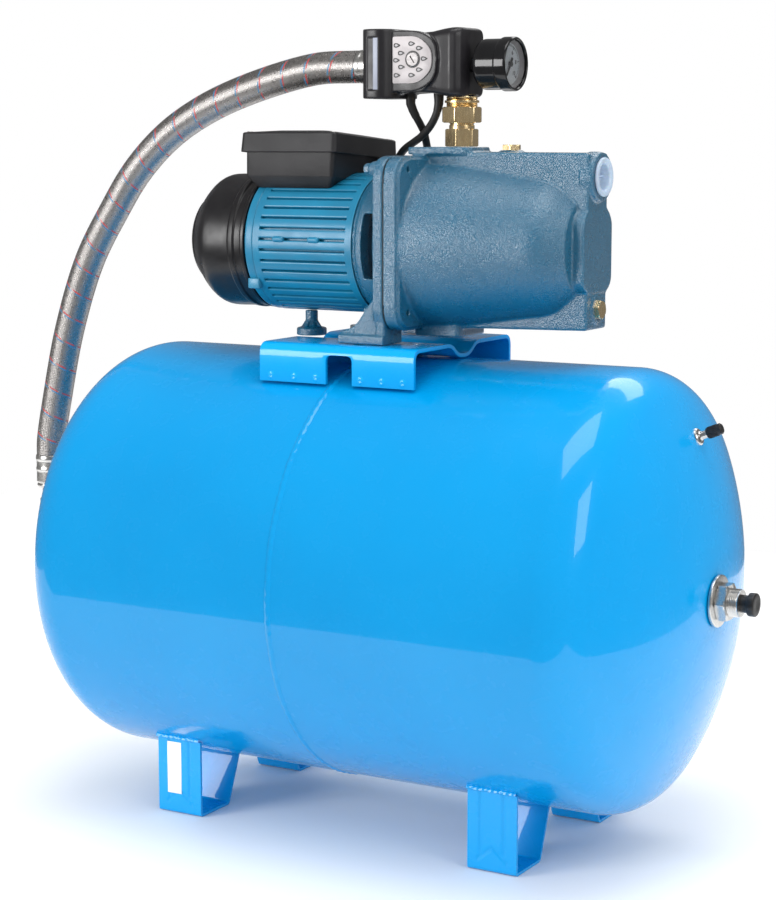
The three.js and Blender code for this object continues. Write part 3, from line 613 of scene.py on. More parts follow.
def curve_point(p, times, t):
    """The point at time t on a centripetal curve through the middle two of four points."""

    def between(a, b, ta, tb):
        return a * ((tb - t) / (tb - ta)) + b * ((t - ta) / (tb - ta))

    first = [between(p[i], p[i + 1], times[i], times[i + 1]) for i in range(3)]
    second = [between(first[i], first[i + 1], times[i], times[i + 2]) for i in range(2)]
    return between(second[0], second[1], times[1], times[2])


def smooth_path(points, step):
    """Points about step apart on a smooth curve through the given ones."""
    points = [Vector(p) for p in points]
    ends = [points[0] * 2 - points[1], *points, points[-1] * 2 - points[-2]]
    out = []
    for i in range(1, len(ends) - 2):
        a, b, c, d = ends[i - 1 : i + 3]
        times = [0.0]
        for p, q in ((a, b), (b, c), (c, d)):
            times.append(times[-1] + max((q - p).length, 1e-6) ** 0.5)
        count = max(1, round((c - b).length / step))
        for k in range(count):
            t = times[1] + (times[2] - times[1]) * k / count
            out.append(curve_point(ends[i - 1 : i + 3], times, t))
    out.append(points[-1])
    return out


def path_length(path):
    """A path's length in millimetres."""
    return sum((b - a).length for a, b in zip(path, path[1:]))


def sweep(name, path, radius, material, segments=24, **kw):
    """A tube along a path, its radius a number or a function of the distance run; UV: run, turn."""
    tangents = []
    for i, p in enumerate(path):
        before = path[max(i - 1, 0)]
        after = path[min(i + 1, len(path) - 1)]
        tangents.append((after - before).normalized())
    side = tangents[0].orthogonal().normalized()
    verts = []
    runs = []
    run = 0.0
    for i, (p, tangent) in enumerate(zip(path, tangents)):
        if i:
            side = (tangents[i - 1].rotation_difference(tangent) @ side).normalized()
            run += (p - path[i - 1]).length
        up = tangent.cross(side)
        r = radius(run) if callable(radius) else radius
        runs.append(run * MM)
        for k in range(segments):
            turn = TAU * k / segments
            verts.append(p + (side * math.cos(turn) + up * math.sin(turn)) * r)
    faces = []
    uvs = []
    for i in range(len(path) - 1):
        for k in range(segments):
            j = (k + 1) % segments
            a, b = i * segments, (i + 1) * segments
            faces.append((a + k, a + j, b + j, b + k))
            near, far = k / segments, (k + 1) / segments
            uvs.append([(runs[i], near), (runs[i], far), (runs[i + 1], far), (runs[i + 1], near)])
    last = (len(path) - 1) * segments
    faces.append(tuple(reversed(range(segments))))
    faces.append(tuple(range(last, last + segments)))
    uvs += [[(0, 0)] * segments] * 2
    return piece(name, verts, faces, material, uvs=uvs, **kw)


def hexagon_radius(flats, turn, phase=0.0):
    """The outside radius of a hexagon of that width across flats, at an angle."""
    part = (turn - phase + math.pi / 6) % (math.pi / 3) - math.pi / 6
    return flats / 2 / math.cos(part)


def hex_part(name, axis, flats, a, b, at, material, ends=(True, True), phase=0.0, **kw):
    """A hexagonal nut or head with turned chamfers at the ends that ask for one."""
    chamfer = min(1.6, (b - a) * 0.25)
    circle = flats / 2 * 1.04
    places = [a, a + chamfer * 0.5, a + chamfer, b - chamfer, b - chamfer * 0.5, b]

    def radius(place, turn):
        full = hexagon_radius(flats, turn, phase)
        depth = min(
            place - a if ends[0] else chamfer * 2,
            b - place if ends[1] else chamfer * 2,
        )
        limit = circle + depth * 1.9
        return min(full, limit)

    return polar(name, axis, places, radius, at, material, 144, angle=28, **kw)


def thread(name, axis, radius, depth, pitch, a, b, at, material, **kw):
    """A screw thread with its helix, run out at both ends."""
    count = round((b - a) / pitch * 8)
    places = [a + (b - a) * i / count for i in range(count + 1)]

    def out(place, turn):
        phase = (place / pitch - turn / TAU) % 1
        ridge = 1 - abs(2 * phase - 1)
        fade = min(1, (place - a) / pitch, (b - place) / pitch)
        return radius - depth * ((1 - ridge) * fade + (1 - fade) * 0.5)

    return polar(name, axis, places, out, at, material, 72, angle=60, **kw)


def rolled(obj):
    """Turns a piece about the pump shaft, as the motor and its box are turned."""
    centre = world((0, 0, AXIS_Z))
    about = Matrix.Translation(centre) @ Matrix.Rotation(MOTOR_ROLL, 4, "X")
    obj.data.transform(about @ Matrix.Translation(-centre))
    return obj


def paint(material, *nodes):
    """Gives CAD nodes that stay in the picture a finished material."""
    for name in nodes:
        mesh = frame["nodes"][name].data
        mesh.materials.clear()
        mesh.materials.append(material)


# ---- cords --------------------------------------------------------------------------------

hose_path = smooth_path(
    [
        (-34.5, 0, LINE_Z),
        (-46, 0, LINE_Z),
        (-90, 0, 795),
        (-175, 0, 775),
        (-236, 0, 752),
        (-284, 0, 724),
        (-326, 0, 686),
        (-359, 0, 642),
        (-395, 0, 585),
        (-426, 0, 505),
        (-447, 0, 421),
        (-455.6, 0, 380),
        (ELBOW_X, 0, 368),
        (ELBOW_X, 0, 357.5),
    ],
    5,
)
hose = sweep(
    "braided_hose",
    hose_path,
    HOSE_DIAMETER / 2 - 0.2,
    BRAID,
    64,
    hides=["hose"],
    angle=80,
)

motor_lead_path = smooth_path(
    [
        (58, 0, 773.5),
        (58, 0, 766),
        (58, 0, 758),
        (55, 0, 747),
        (47, 3, 736),
        (33, 9, 725),
        (18, 17, 718),
        (3, 25, 711),
        (-9, 32, 701),
        (-15, 35, 695),
        (-21.7, 35.6, 693.7),
    ],
    4,
)
mains_lead_drop = smooth_path(
    [
        (25, 0, 773.5),
        (25, 0, 766),
        (25, 0, 758),
        (28, 6, 745),
        (30, 18, 731),
        (26, 32, 717),
        (18, 54, 700),
        (14, 84, 675),
        (12, 106, 630),
        (12, 117, 570),
        (12, 126, 510),
        (14, 152, 466),
        (16, 196, 404),
        (18, 231, 320),
        (19, 242, 240),
        (19, 250, 150),
        (17, 257, 80),
        (14, 268, 38),
        (12.6, 284, 12),
        (12, 297, 5),
        (12, 309, 4.2),
        (12, 322, 4.1),
    ],
    8,
)
COIL_AT = Vector((60, 338, 0))
COIL_LANES = [(48, 4.1), (40, 4.1), (40, 12.1), (48, 12.1), (44, 19.6), (44, 20)]
COIL_TURNS = 4.25
PLUG_AT = (30, 382, 18.6)


def coil_points():
    """Turns of the stored lead: two rings side by side, two on top of them, then the last."""
    points = []
    steps = round(COIL_TURNS * 28)
    for i in range(steps + 1):
        turns = COIL_TURNS * i / steps
        lane = int(turns)
        ease = min(1, max(0, (turns % 1 - 0.72) / 0.28))
        ease = ease * ease * (3 - 2 * ease)
        pair = zip(COIL_LANES[lane], COIL_LANES[lane + 1])
        radius, height = (a + (b - a) * ease for a, b in pair)
        angle = math.pi - TAU * turns
        out = Vector((radius * math.cos(angle), radius * math.sin(angle), height))
        points.append(COIL_AT + out)
    return points


into_plug = [Vector((78, 382, 19.4)), Vector((96, 382, 18.6))]
mains_path = [*mains_lead_drop, *coil_points(), *into_plug]

motor_cable = sweep(
    "motor_cable", motor_lead_path, LEAD_DIAMETER / 2, RUBBER, 16, hides=["motor_lead"]
)
mains_cable = sweep(
    "mains_cable", mains_path, LEAD_DIAMETER / 2, RUBBER, 16, hides=["mains_lead", "mains_coil"]
)


def relief(name, path, length):
    """A tapered sleeve on the first part of a lead, where it leaves the switch."""
    run = [path[0]]
    while path_length(run) < length:
        run.append(path[len(run)])
    return sweep(name, run, lambda at: max(4.25, 5.6 - 1.3 * at / length), RUBBER, 24)


relief("motor_cable_relief", motor_lead_path, 22)
relief("mains_cable_relief", mains_path, 26)

grip_profile = [[64.5, 0], [64.5, 4.6, 1], [70, 5], [88, 6.8, 8], [100, 15, 6], [110, 18.2, 4]]
grip_profile += [[122, 18.4, 1.2], [122, 0]]
lathe("plug_grip", "x", grip_profile, PLUG_AT, RUBBER, 64, hides=["mains_plug"])
ribs = []
for i, x in enumerate((84, 80, 76, 72)):
    out = 7.4 - i * 0.3
    ring = [[x, 3.8], [x, out], [x + 1.4, out], [x + 1.4, 3.8], [x, 3.8]]
    ribs.append(bare_lathe("rib", "x", ring, PLUG_AT, 32))
dress(joined("plug_ribs", ribs), RUBBER)
for side, letter in ((-1, "a"), (1, "b")):
    at = (PLUG_AT[0], PLUG_AT[1] + side * 9.5, PLUG_AT[2])
    profile = [[116, 0], [116, 2.4], [140, 2.4, 1.5], [141, 0]]
    lathe(f"plug_pin_{letter}", "x", profile, at, ZINC, 24)

# ---- tank ---------------------------------------------------------------------------------


def arc(centre, radius, start, end, steps):
    """Points of [place, radius] on an arc of a turned profile, angles measured from the axis."""
    out = []
    for i in range(steps + 1):
        turn = start + (end - start) * i / steps
        out.append([centre[0] + radius * math.cos(turn), centre[1] + radius * math.sin(turn)])
    return out


def tank_profile():
    """Half the vessel's section: domes, knuckles and cylinder, open where the fittings sit."""
    inner = TANK_RADIUS - TANK_KNUCKLE
    meet = math.asin(inner / (TANK_CROWN - TANK_KNUCKLE))
    hole = math.asin(14.6 / TANK_CROWN)
    right = arc((TANK_END - TANK_CROWN, 0), TANK_CROWN, hole, meet, 36)
    right += arc((TANK_STRAIGHT, inner), TANK_KNUCKLE, meet, math.pi / 2, 20)[1:]
    left = [[-x, r] for x, r in right if r > 59]
    return [[-TANK_END + 6, 58.5], *left, *right[::-1], [TANK_END - 6, 14.6]]


tank = lathe("tank_vessel", "x", tank_profile(), TANK_AT, BLUE, 256, hides=["tank_shell"])
collar = [[-369, 58.5], [-369, 76, 1], [-361, 76.5, 2], [-355, 79]]
lathe("tank_collar", "x", collar, TANK_AT, BLUE, 128)


def weld_bead(name, centre, path, width, height):
    """A rippled weld bead along a path; it stands out from centre(p), a point behind it."""
    verts = []
    faces = []
    across = 8
    for i, p in enumerate(path):
        out = (p - centre(p)).normalized()
        after = path[min(i + 1, len(path) - 1)]
        before = path[max(i - 1, 0)]
        side = out.cross((after - before).normalized()).normalized()
        ripple = 1 + 0.16 * math.sin(i * 1.05) + 0.1 * math.sin(i * 0.31)
        for k in range(across + 1):
            t = 2 * k / across - 1
            crown = height * ripple * (1 - t * t) - 0.25
            verts.append(p + side * t * width * (1 + 0.05 * math.sin(i * 0.7)) / 2 + out * crown)
    for i in range(len(path) - 1):
        for k in range(across):
            a = i * (across + 1) + k
            faces.append((a, a + 1, a + across + 2, a + across + 1))
    return piece(name, verts, faces, BLUE, angle=70)


seam = []
for i in range(721):
    turn = TAU * i / 720
    x = -9 + 0.35 * math.sin(3 * turn) + 0.25 * math.sin(17 * turn)
    seam.append(Vector((x, TANK_RADIUS * math.cos(turn), TANK_Z + TANK_RADIUS * math.sin(turn))))
girth_weld = weld_bead("tank_girth_weld", lambda p: Vector((p.x, 0, TANK_Z)), seam, 7.5, 1.5)

# ---- legs and platform --------------------------------------------------------------------


def strip(name, path, xs, thickness, material, raise_by=None, **kw):
    """A bent sheet: a path in YZ drawn out along the given x values.

    Its thickness is laid to the right of the path, and raise_by(x, point) lifts both faces.
    """
    count = len(path)
    normals = []
    for i in range(count):
        step = (path[min(i + 1, count - 1)] - path[max(i - 1, 0)]).normalized()
        normals.append(Vector((step.y, -step.x)))
    verts = []
    for inner in (0, 1):
        for x in xs:
            for p, normal in zip(path, normals):
                lift = raise_by(x, p) if raise_by else 0
                q = p + normal * (inner * thickness - lift)
                verts.append((x, q.x, q.y))
    wide = len(xs)
    faces = []
    for inner in (0, 1):
        base = inner * wide * count
        for i in range(wide - 1):
            for k in range(count - 1):
                a = base + i * count + k
                faces.append((a, a + 1, a + count + 1, a + count))
    other = wide * count
    for k in range(count - 1):
        for start in (0, (wide - 1) * count):
            faces.append((start + k, start + k + 1, start + k + 1 + other, start + k + other))
    for i in range(wide - 1):
        for start in (0, count - 1):
            a = start + i * count
            faces.append((a, a + count, a + count + other, a + other))
    return piece(name, verts, faces, material, angle=40, **kw)


def fill(path, step):
    """The same path with extra points, none further apart than step."""
    out = [path[0]]
    for a, b in zip(path, path[1:]):
        count = max(1, math.ceil((b - a).length / step))
        out += [a.lerp(b, i / count) for i in range(1, count + 1)]
    return out


def leg_emboss(x, p, middle):
    """Two upright grooves and a chevron pressed into the leg's outer plate."""
    if abs(p.x) < 122:
        return 0
    u = x - middle
    z = p.y
    line = min(abs(u - 13), abs(u + 13))
    depth = 1.1 * math.exp(-((line / 1.5) ** 2)) * min(1, max(0, (z - 14) / 6))
    if 8 < z < 30:
        chevron = abs(z - (26 - abs(u) * 0.85))
        if abs(u) < 17:
            depth = max(depth, 1.0 * math.exp(-((chevron / 1.5) ** 2)))
    return -depth


leg_bends = soft([[-125, 82.6], [-125, 0, 4], [-71, 0, 4], [-50, 51.5]])
for face, side in (("front", -1), ("rear", 1)):
    for end, x0 in (("left", -217), ("right", 162)):
        path = [Vector((p.x * -side, p.y)) for p in fill(leg_bends, 1.6)]
        xs = [x0 + 55 * i / 48 for i in range(49)]
        strip(
            f"leg_{face}_{end}_bent",
            path,
            xs,
            3 * side,
            BLUE,
            lambda x, p: side * leg_emboss(x, p, x0 + 27.5),
            hides=[f"leg_{face}_{end}"],
        )
        rise = TANK_Z - math.sqrt(TANK_RADIUS**2 - 125**2)
        bead = [Vector((x0 + 55 * i / 60, side * 126.2, rise + 0.5)) for i in range(61)]
        weld_bead(f"leg_{face}_{end}_weld", lambda p: Vector((p.x, side * 100, 40)), bead, 7, 2.2)

box("leg_sticker", (-205, -187), (-125.35, -124.9), (22, 79), LABEL, 0.15)

platform_half = [[106, 475], [106, 515, 13], [26, 515, 9], [11, 503, 9]]
platform_line = [[-y, z, *r] for y, z, *r in platform_half]
platform_line += [[y, z, *r] for y, z, *r in platform_half[::-1]]
platform = strip(
    "platform_bent",
    soft(platform_line, steps=8),
    [-94, -93.2, -60, -20, 20, 60, 88.2, 89],
    4,
    BLUE,
    hides=["pump_platform"],
)
notch_outline = soft([[-14, 440], [17, 440], [17, 505, 7], [-14, 505, 7]], closed=True, steps=6)
cutters = [
    prism_mesh("notch", "y", notch_outline, 92, 120),
    prism_mesh("notch", "y", notch_outline, -120, -92),
]
for y in (-66, 66):
    cutters.append(rod("z", 4.6, 490, 530, (0, y, 0)))
carve(platform, cutters)
bevel(platform, 0.7, 2, 50)
dress(platform, BLUE, angle=40)
for side, face in ((-1, "front"), (1, "rear")):
    profile = [[106, 0], [106.9, 1.6], [106.9, 2.4], [106, 4.4]]
    dot = [[side * y, radius] for y, radius in profile]
    dots = [bare_lathe("dot", "y", dot, (x, 0, 481), 20) for x in (-80, -52, -26, 27, 52, 76)]
    dress(joined(f"spot_welds_{face}", dots), BLUE)

# ---- tank ends ----------------------------------------------------------------------------

flange_profile = [[-372, 16.6], [-372, 75, 0.8], [-378, 75, 1.5], [-378, 34, 3]]
flange_profile += [[-381, 26, 2], [-396, 23, 1.5], [-396, 16.6]]
lathe("water_flange", "x", flange_profile, TANK_AT, ZINC, 128, hides=["tank_flange"])
bolt_washer = [[-379.2, 0], [-379.2, 8.5, 0.4], [-378, 8.5], [-378, 0]]
for i in range(6):
    turn = TAU * (i + 0.5) / 6
    at = (0, 65 * math.cos(turn), TANK_Z + 65 * math.sin(turn))
    hex_part(f"flange_bolt_{i + 1}", "x", 13, -384.4, -379.2, at, ZINC, (True, False), 0.2 * i)
    lathe(f"flange_washer_{i + 1}", "x", bolt_washer, at, ZINC, 48)

heel = []
for i in range(17):
    turn = math.pi * i / 16
    heel.append([-15.3 * math.cos(turn), 15.3 * math.sin(turn)])
elbow_parts = [
    rod("x", 15, -375, ELBOW_X, TANK_AT, 64),
    rod("z", 14, TANK_Z, 300, (ELBOW_X, 0, 0), 64),
    bare_lathe("heel", "x", heel, (ELBOW_X, 0, TANK_Z), 64),
]
cast("elbow_cast", elbow_parts, [], 0.9, 6, BRASS, hides=["flange_elbow"])
hex_part("elbow_hexagon", "x", 34, -408.6, -397, TANK_AT, BRASS)

washer = [[372.6, 14.6], [372.6, 26.2, 0.6], [376, 26.2, 1.2], [376, 14.6]]
lathe("end_fitting_washer", "x", washer, TANK_AT, ZINC, 96, hides=["end_washer"])
point_up = {"phase": math.pi / 6}
hex_part("end_fitting_nut", "x", 35, 376.3, 386.7, TANK_AT, ZINC, hides=["end_nut"], **point_up)
thread("end_fitting_thread", "x", 14.2, 1.1, 1.81, 384, 398, TANK_AT, ZINC, hides=["end_nipple"])
plug_profile = [[392, 0], [392, 8.7], [406, 8.7, 0.8], [406, 11.6, 0.8]]
plug_profile += [[413.5, 11.8, 1.8], [413.5, 7, 0.6], [412.6, 0]]
lathe("end_fitting_plug", "x", plug_profile, TANK_AT, BLACK_PART, 72, hides=["end_plug"])
VALVE_AT = Vector((TANK_END - TANK_CROWN, 0, TANK_Z)) + VALVE_OUT * TANK_CROWN
lathe(
    "valve_stem",
    VALVE_OUT,
    [[-4, 0], [-4, 9], [1.2, 9, 0.5], [2.8, 7.5, 0.6], [3.2, 5, 0.5], [5, 4.2], [18, 4], [18, 0]],
    VALVE_AT,
    ZINC,
    48,
    hides=["air_valve"],
)


def knurled(place, turn):
    """The valve cap's radius: a ribbed grip between plain ends."""
    if place > 25.9:
        return 5.2 - (place - 25.9) * 0.8
    ridge = 0.5 * max(0, math.cos(24 * turn)) if 12.2 < place < 22 else 0.1
    return 5.5 + ridge


polar(
    "valve_cap",
    VALVE_OUT,
    [11, 12, 12.4, 21.8, 22.4, 24, 25.8, 26.4, 27],
    knurled,
    VALVE_AT,
    BLACK_PART,
    144,
    body="valve_cap",
    hides=["air_valve_cap"],
)

# ---- motor --------------------------------------------------------------------------------

SLOTS = 40
BARREL_RADIUS = 73
SLOT_HALF_WIDTH = 1.35
SLOT_ENDS = (-116.5, -11.5)


def housing_radius(place, turn):
    """The ribbed barrel: narrow slots between wide smooth bands, each slot with round ends."""
    part = (turn / TAU * SLOTS) % 1
    from_slot = min(part, 1 - part) * TAU * BARREL_RADIUS / SLOTS
    shape = BARREL_RADIUS - 0.35 * (1 - min(1, from_slot / 5.7)) ** 2
    inside = min(place - SLOT_ENDS[0], SLOT_ENDS[1] - place)
    if inside <= 0:
        return BARREL_RADIUS
    beyond = max(0, SLOT_HALF_WIDTH - inside)
    half = math.sqrt(max(0, SLOT_HALF_WIDTH**2 - beyond**2))
    if from_slot < half:
        return 67.5
    return shape - (0.5 if from_slot < half + 0.5 else 0)


barrel_places = [-124, -123.2, -117.2, -116.5, -116.2, -115.6, -115, -114.2, -70]
barrel_places += [-13.8, -13, -12.4, -11.8, -11.5, -11, -4.8, -4]
barrel = polar(
    "motor_barrel",
    "x",
    barrel_places,
    housing_radius,
    SHAFT_AT,
    MOTOR,
    SLOTS * 16,
    hides=["motor_housing"],
    angle=40,
)
rolled(barrel)


def motor_boss(name, x, angle, length, radius):
    """A round-ended lug lying across a slot of the barrel."""
    profile = [[x - length / 2, 0], [x - length / 2, radius, radius * 0.8]]
    profile += [[x + length / 2, radius, radius * 0.8], [x + length / 2, 0]]
    at = (0, math.cos(angle) * 72.4, AXIS_Z + math.sin(angle) * 72.4)
    return rolled(lathe(name, "x", profile, at, MOTOR, 32))


for i, x in enumerate((-92, -49)):
    motor_boss(f"rating_plate_boss_{i + 1}", x, math.pi, 13, 3.2)

lathe(
    "rear_shield",
    "x",
    [[-136.6, 9], [-136.6, 68, 1], [-134, 72.5, 1.5], [-124.6, 72.5, 1.5], [-124.3, 66]],
    SHAFT_AT,
    MOTOR,
    160,
    hides=["end_shield"],
)
for face, angle in (("front", 215), ("rear", 325)):
    turn = math.radians(angle)
    at = (0, 74 * math.cos(turn), AXIS_Z + 74 * math.sin(turn))
    y, z = (at[1] - 3.5, at[1] + 3.5), (at[2] - 5.5, at[2] + 5.5)
    box(f"tie_lug_{face}", (-136, -122), y, z, MOTOR, 1.4)

fan_cover = lathe(
    "fan_cowl",
    "x",
    [
        [-220, 0],
        [-220, 47.5, 3],
        [-215, 49.5, 1],
        [-213.5, 51.5, 1.5],
        [-204, 62, 8],
        [-193, 70.6, 9],
        [-182, 71],
        [-158, 70.4, 1],
        [-156.5, 71.6, 0.8],
        [-151, 71.9, 1],
        [-149.5, 70.2, 0.6],
        [-142, 70.4, 0.6],
        [-141, 71.6, 0.6],
        [-137, 71.6, 0.8],
        [-137, 68.8],
        [-188, 68.6],
        [-197, 67.6, 5],
        [-205, 60, 8],
        [-214, 48, 3],
        [-217, 43, 3],
        [-217.4, 0],
    ],
    SHAFT_AT,
    BLACK_GLOSS,
    192,
    hides=["fan_cover"],
)
cutters = []
for k in range(9):
    y = (k - 4) * 8.6
    reach = math.sqrt(40**2 - y**2)
    low, high = AXIS_Z - reach, AXIS_Z + reach
    ends = soft(
        [[y - 2, low, 2], [y + 2, low, 2], [y + 2, high, 2], [y - 2, high, 2]], closed=True
    )
    cutters.append(prism_mesh("slot", "x", ends, -224, -210))
carve(fan_cover, cutters)
dress(fan_cover, BLACK_GLOSS)
for i, turn in enumerate((-math.pi / 2, math.pi / 6)):
    at = (-146, 70 * math.cos(turn), AXIS_Z + 70 * math.sin(turn))
    out = (0, math.cos(turn), math.sin(turn))
    head = [[-1, 0], [-1, 4], [0.6, 4, 0.6], [1.4, 2.6, 0.6], [1.5, 0]]
    lathe(f"cowl_screw_{i + 1}", out, head, at, ZINC, 32)

paint(ZINC, "shaft", "rotor_core", "rear_bearing", "front_bearing")
paint(BLACK_PART, "fan", "diffuser", "venturi")
paint(WINDING, "stator")
paint(BRASS, "impeller", "nozzle")
paint(RUBBER, "bladder", "seal_head", "body_gasket")
paint(WHITE, "seal_seat", "capacitor", "terminal_block")

# ---- bracket ------------------------------------------------------------------------------


def square_flange(inset=0.0):
    """The rounded square outline that bracket and pump body share."""
    half = 88 - inset
    middle = 617.5
    corner = 27 - inset / 2
    return soft(
        [
            [-half, middle - half, corner],
            [half, middle - half, corner],
            [half, middle + half, corner],
            [-half, middle + half, corner],
        ],
        closed=True,
        steps=12,
    )


def shaft_rod(radius, a, b, segments=128):
    return rod("x", radius, a, b, SHAFT_AT, segments)


flare = [[0, 60], [2, 75], [18, 78], [30, 85], [34, 87], [36, 60]]
gusset = [[-12, 516], [42, 516], [42, 566], [30, 566, 6], [6, 533, 8], [-12, 527, 3]]
boss = [[16, 0], [16, 6.5], [22, 8.5], [34, 8.5], [34, 0]]
bracket_parts = [
    prism_mesh("face", "x", square_flange(), 30, 41.8),
    shaft_rod(72, -3.7, 34),
    bare_lathe("flare", "x", flare, SHAFT_AT, 128),
]
for side in (-1, 1):
    foot = soft(gusset, closed=True)
    bracket_parts.append(prism_mesh("gusset", "y", foot, side * 79 - 3.5, side * 79 + 3.5))
    low, high = sorted((side * 87, side * 48))
    bracket_parts.append(bare_box("pad", (-12, 42), (low, high), (515.6, 524.5)))
    bracket_parts.append(bare_box("post", (33, 41.5), sorted((side * 84, side * 46)), (517, 600)))
    for z in (548, 692):
        bracket_parts.append(bare_lathe("boss", "x", boss, (0, side * 66, z), 32))
bracket_cuts = [
    bare_box("window", (9.5, 27), (-95, 95), (AXIS_Z - 33, AXIS_Z + 33)),
    bare_box("window", (10, 26), (-30, 30), (AXIS_Z - 95, AXIS_Z - 40)),
    shaft_rod(60, 6, 28),
    shaft_rod(17.7, -20, 60, 48),
]
for side in (-1, 1):
    bracket_cuts.append(rod("z", 4.8, 500, 545, (0, side * 66, 0)))
cast("bracket_casting", bracket_parts, bracket_cuts, 1.2, 4, CAST, hides=["motor_bracket"])

bolt_washer = [[525, 0], [525, 8.3, 0.5], [527.2, 8.3, 0.5], [527.2, 0]]
for side, face in ((-1, "front"), (1, "rear")):
    at = (0, side * 66, 0)
    hidden = [f"bracket_bolt_{face}"]
    hex_part(f"bolt_head_{face}", "z", 13, 527.4, 533.5, at, ZINC, (False, True), hides=hidden)
    lathe(f"bolt_washer_{face}", "z", bolt_washer, at, ZINC, 48)
    thread(f"bolt_end_{face}", "z", 4, 0.5, 1.25, 498, 526, at, ZINC)
    for z, level in ((548, "low"), (692, "high")):
        at = (0, side * 66, z)
        hex_part(f"body_bolt_{face}_{level}", "x", 10, 10.6, 15.6, at, CAST, (True, False))

foot_profile = [[515.4, 0], [515.4, 16, 1], [523, 16, 1.5], [524.5, 9, 2], [530, 6.6]]
foot_profile += [[541.5, 6.6], [541.5, 0]]
foot_parts = [bare_lathe("foot", "z", foot_profile, (-88, -14, 0), 48)]
for axis, u, w in (("y", -88, -14), ("x", -14, -88)):
    for sign in (-1, 1):
        rib = [(u + sign * 5, 523), (u + sign * 13, 523), (u + sign * 5, 534)]
        foot_parts.append(prism_mesh("rib", axis, rib, w - 1.5, w + 1.5))
cast("support_foot_casting", foot_parts, [], 0.8, 2, CAST, hides=["support_foot"])

# ---- pump ---------------------------------------------------------------------------------

bowl = [[50, 0], [50, 87], [57, 87], [62, 86, 2], [98, 83.5, 20], [160, 74, 4], [202, 69, 14]]
bowl += [[225, 51, 1], [226, 50], [226, 0]]
web_side = soft([[46, 530], [238, 534, 3], [238, 708.6, 4], [46, 709.4]], closed=True)
front_plate = soft(
    [
        [-34, 580, 8],
        [-24, 571, 5],
        [24, 571, 5],
        [34, 580, 8],
        [34, 642, 8],
        [24, 653, 5],
        [-24, 653, 5],
        [-34, 642, 8],
    ],
    closed=True,
)
pad_plan = soft([[35, -28, 8], [108, -24, 10], [108, 24, 10], [35, 28, 8]], closed=True)
sole_plan = soft([[46, -30, 5], [98, -30, 5], [98, 30, 5], [46, 30, 5]], closed=True)
suction_boss = [[229, 0], [229, 25], [236, 25, 3], [243, 24.3, 1.5], [243, 0]]
drain_boss = [[200, 0], [200, 15], [FRONT_X + 0.6, 14, 1.5], [FRONT_X + 0.6, 0]]
outlet_boss = [[690, 0], [690, 16], [710, 15, 3], [714, 14, 1], [714, 0]]
priming_boss = [[690, 0], [690, 13.5], [711, 12, 1.5], [711, 0]]
pump_parts = [
    prism_mesh("flange", "x", square_flange(), 43, 57),
    prism_mesh("step", "x", square_flange(3.5), 56, 60),
    bare_lathe("bowl", "x", bowl, SHAFT_AT, 192),
    prism_mesh("web", "y", web_side, -23, 23),
    prism_mesh("plate", "x", front_plate, 212, FRONT_X),
    bare_lathe("port", "x", suction_boss, SUCTION_AT, 96),
    bare_lathe("drain", "x", drain_boss, DRAIN_AT, 64),
    prism_mesh("pad", "z", pad_plan, 706.4, 714),
    bare_lathe("boss", "z", outlet_boss, (DISCHARGE_X + 10, 0, 0), 64),
    bare_lathe("priming", "z", priming_boss, PRIMING_AT, 64),
    prism_mesh("sole", "z", sole_plan, 522, 545),
]
pump_cuts = [
    shaft_rod(60, 40, 66),
    rod("x", 15.2, 225, 250, SUCTION_AT, 64),
    rod("x", 6.2, 222, 250, DRAIN_AT),
    rod("z", 6.2, 695, 720, PRIMING_AT),
]
for side in (-1, 1):
    for z in (548, 692):
        pump_cuts.append(rod("x", 3.1, 50, 70, (0, side * 66, z), 24))
cast("pump_casting", pump_parts, pump_cuts, 1.1, 4, CAST, hides=["pump_body"])

for name, node, axis, at, base, phase in (
    ("priming", "priming_plug", "z", PRIMING_AT, 711.3, 0.3),
    ("drain", "drain_plug", "x", DRAIN_AT, 239.3, 0.25),
):
    own = {"body": name, "hides": [node]}
    head = (base, base + 5.2)
    hex_part(f"{name}_head", axis, 17, *head, at, BRASS, (False, True), phase, body=name)
    thread(f"{name}_thread", axis, 5.9, 0.5, 1.2, base - 12.9, base + 0.3, at, BRASS, **own)
cap_profile = [
    [230, 0],
    [230, 14.6, 1],
    [243.3, 14.9, 0.5],
    [243.3, 19.4, 0.5],
    [246, 19.4, 1.2],
    [246, 15, 1],
    [244, 12.8, 1],
    [234, 12.4, 2],
    [234, 0],
]
own = {"body": "suction", "hides": ["suction_cap"]}
lathe("suction_plug", "x", cap_profile, SUCTION_AT, MILKY, 96, **own)
for i, turn in enumerate((0.1, math.pi / 2 + 0.1)):
    middle = Vector((237.5, 0, SUCTION_Z))
    reach = Vector((0, 12.6 * math.cos(turn), 12.6 * math.sin(turn)))
    line = [middle - reach, middle, middle + reach]
    sweep(f"suction_plug_rib_{i + 1}", line, 0.9, MILKY, 12, body="suction")

# ---- terminal box -------------------------------------------------------------------------

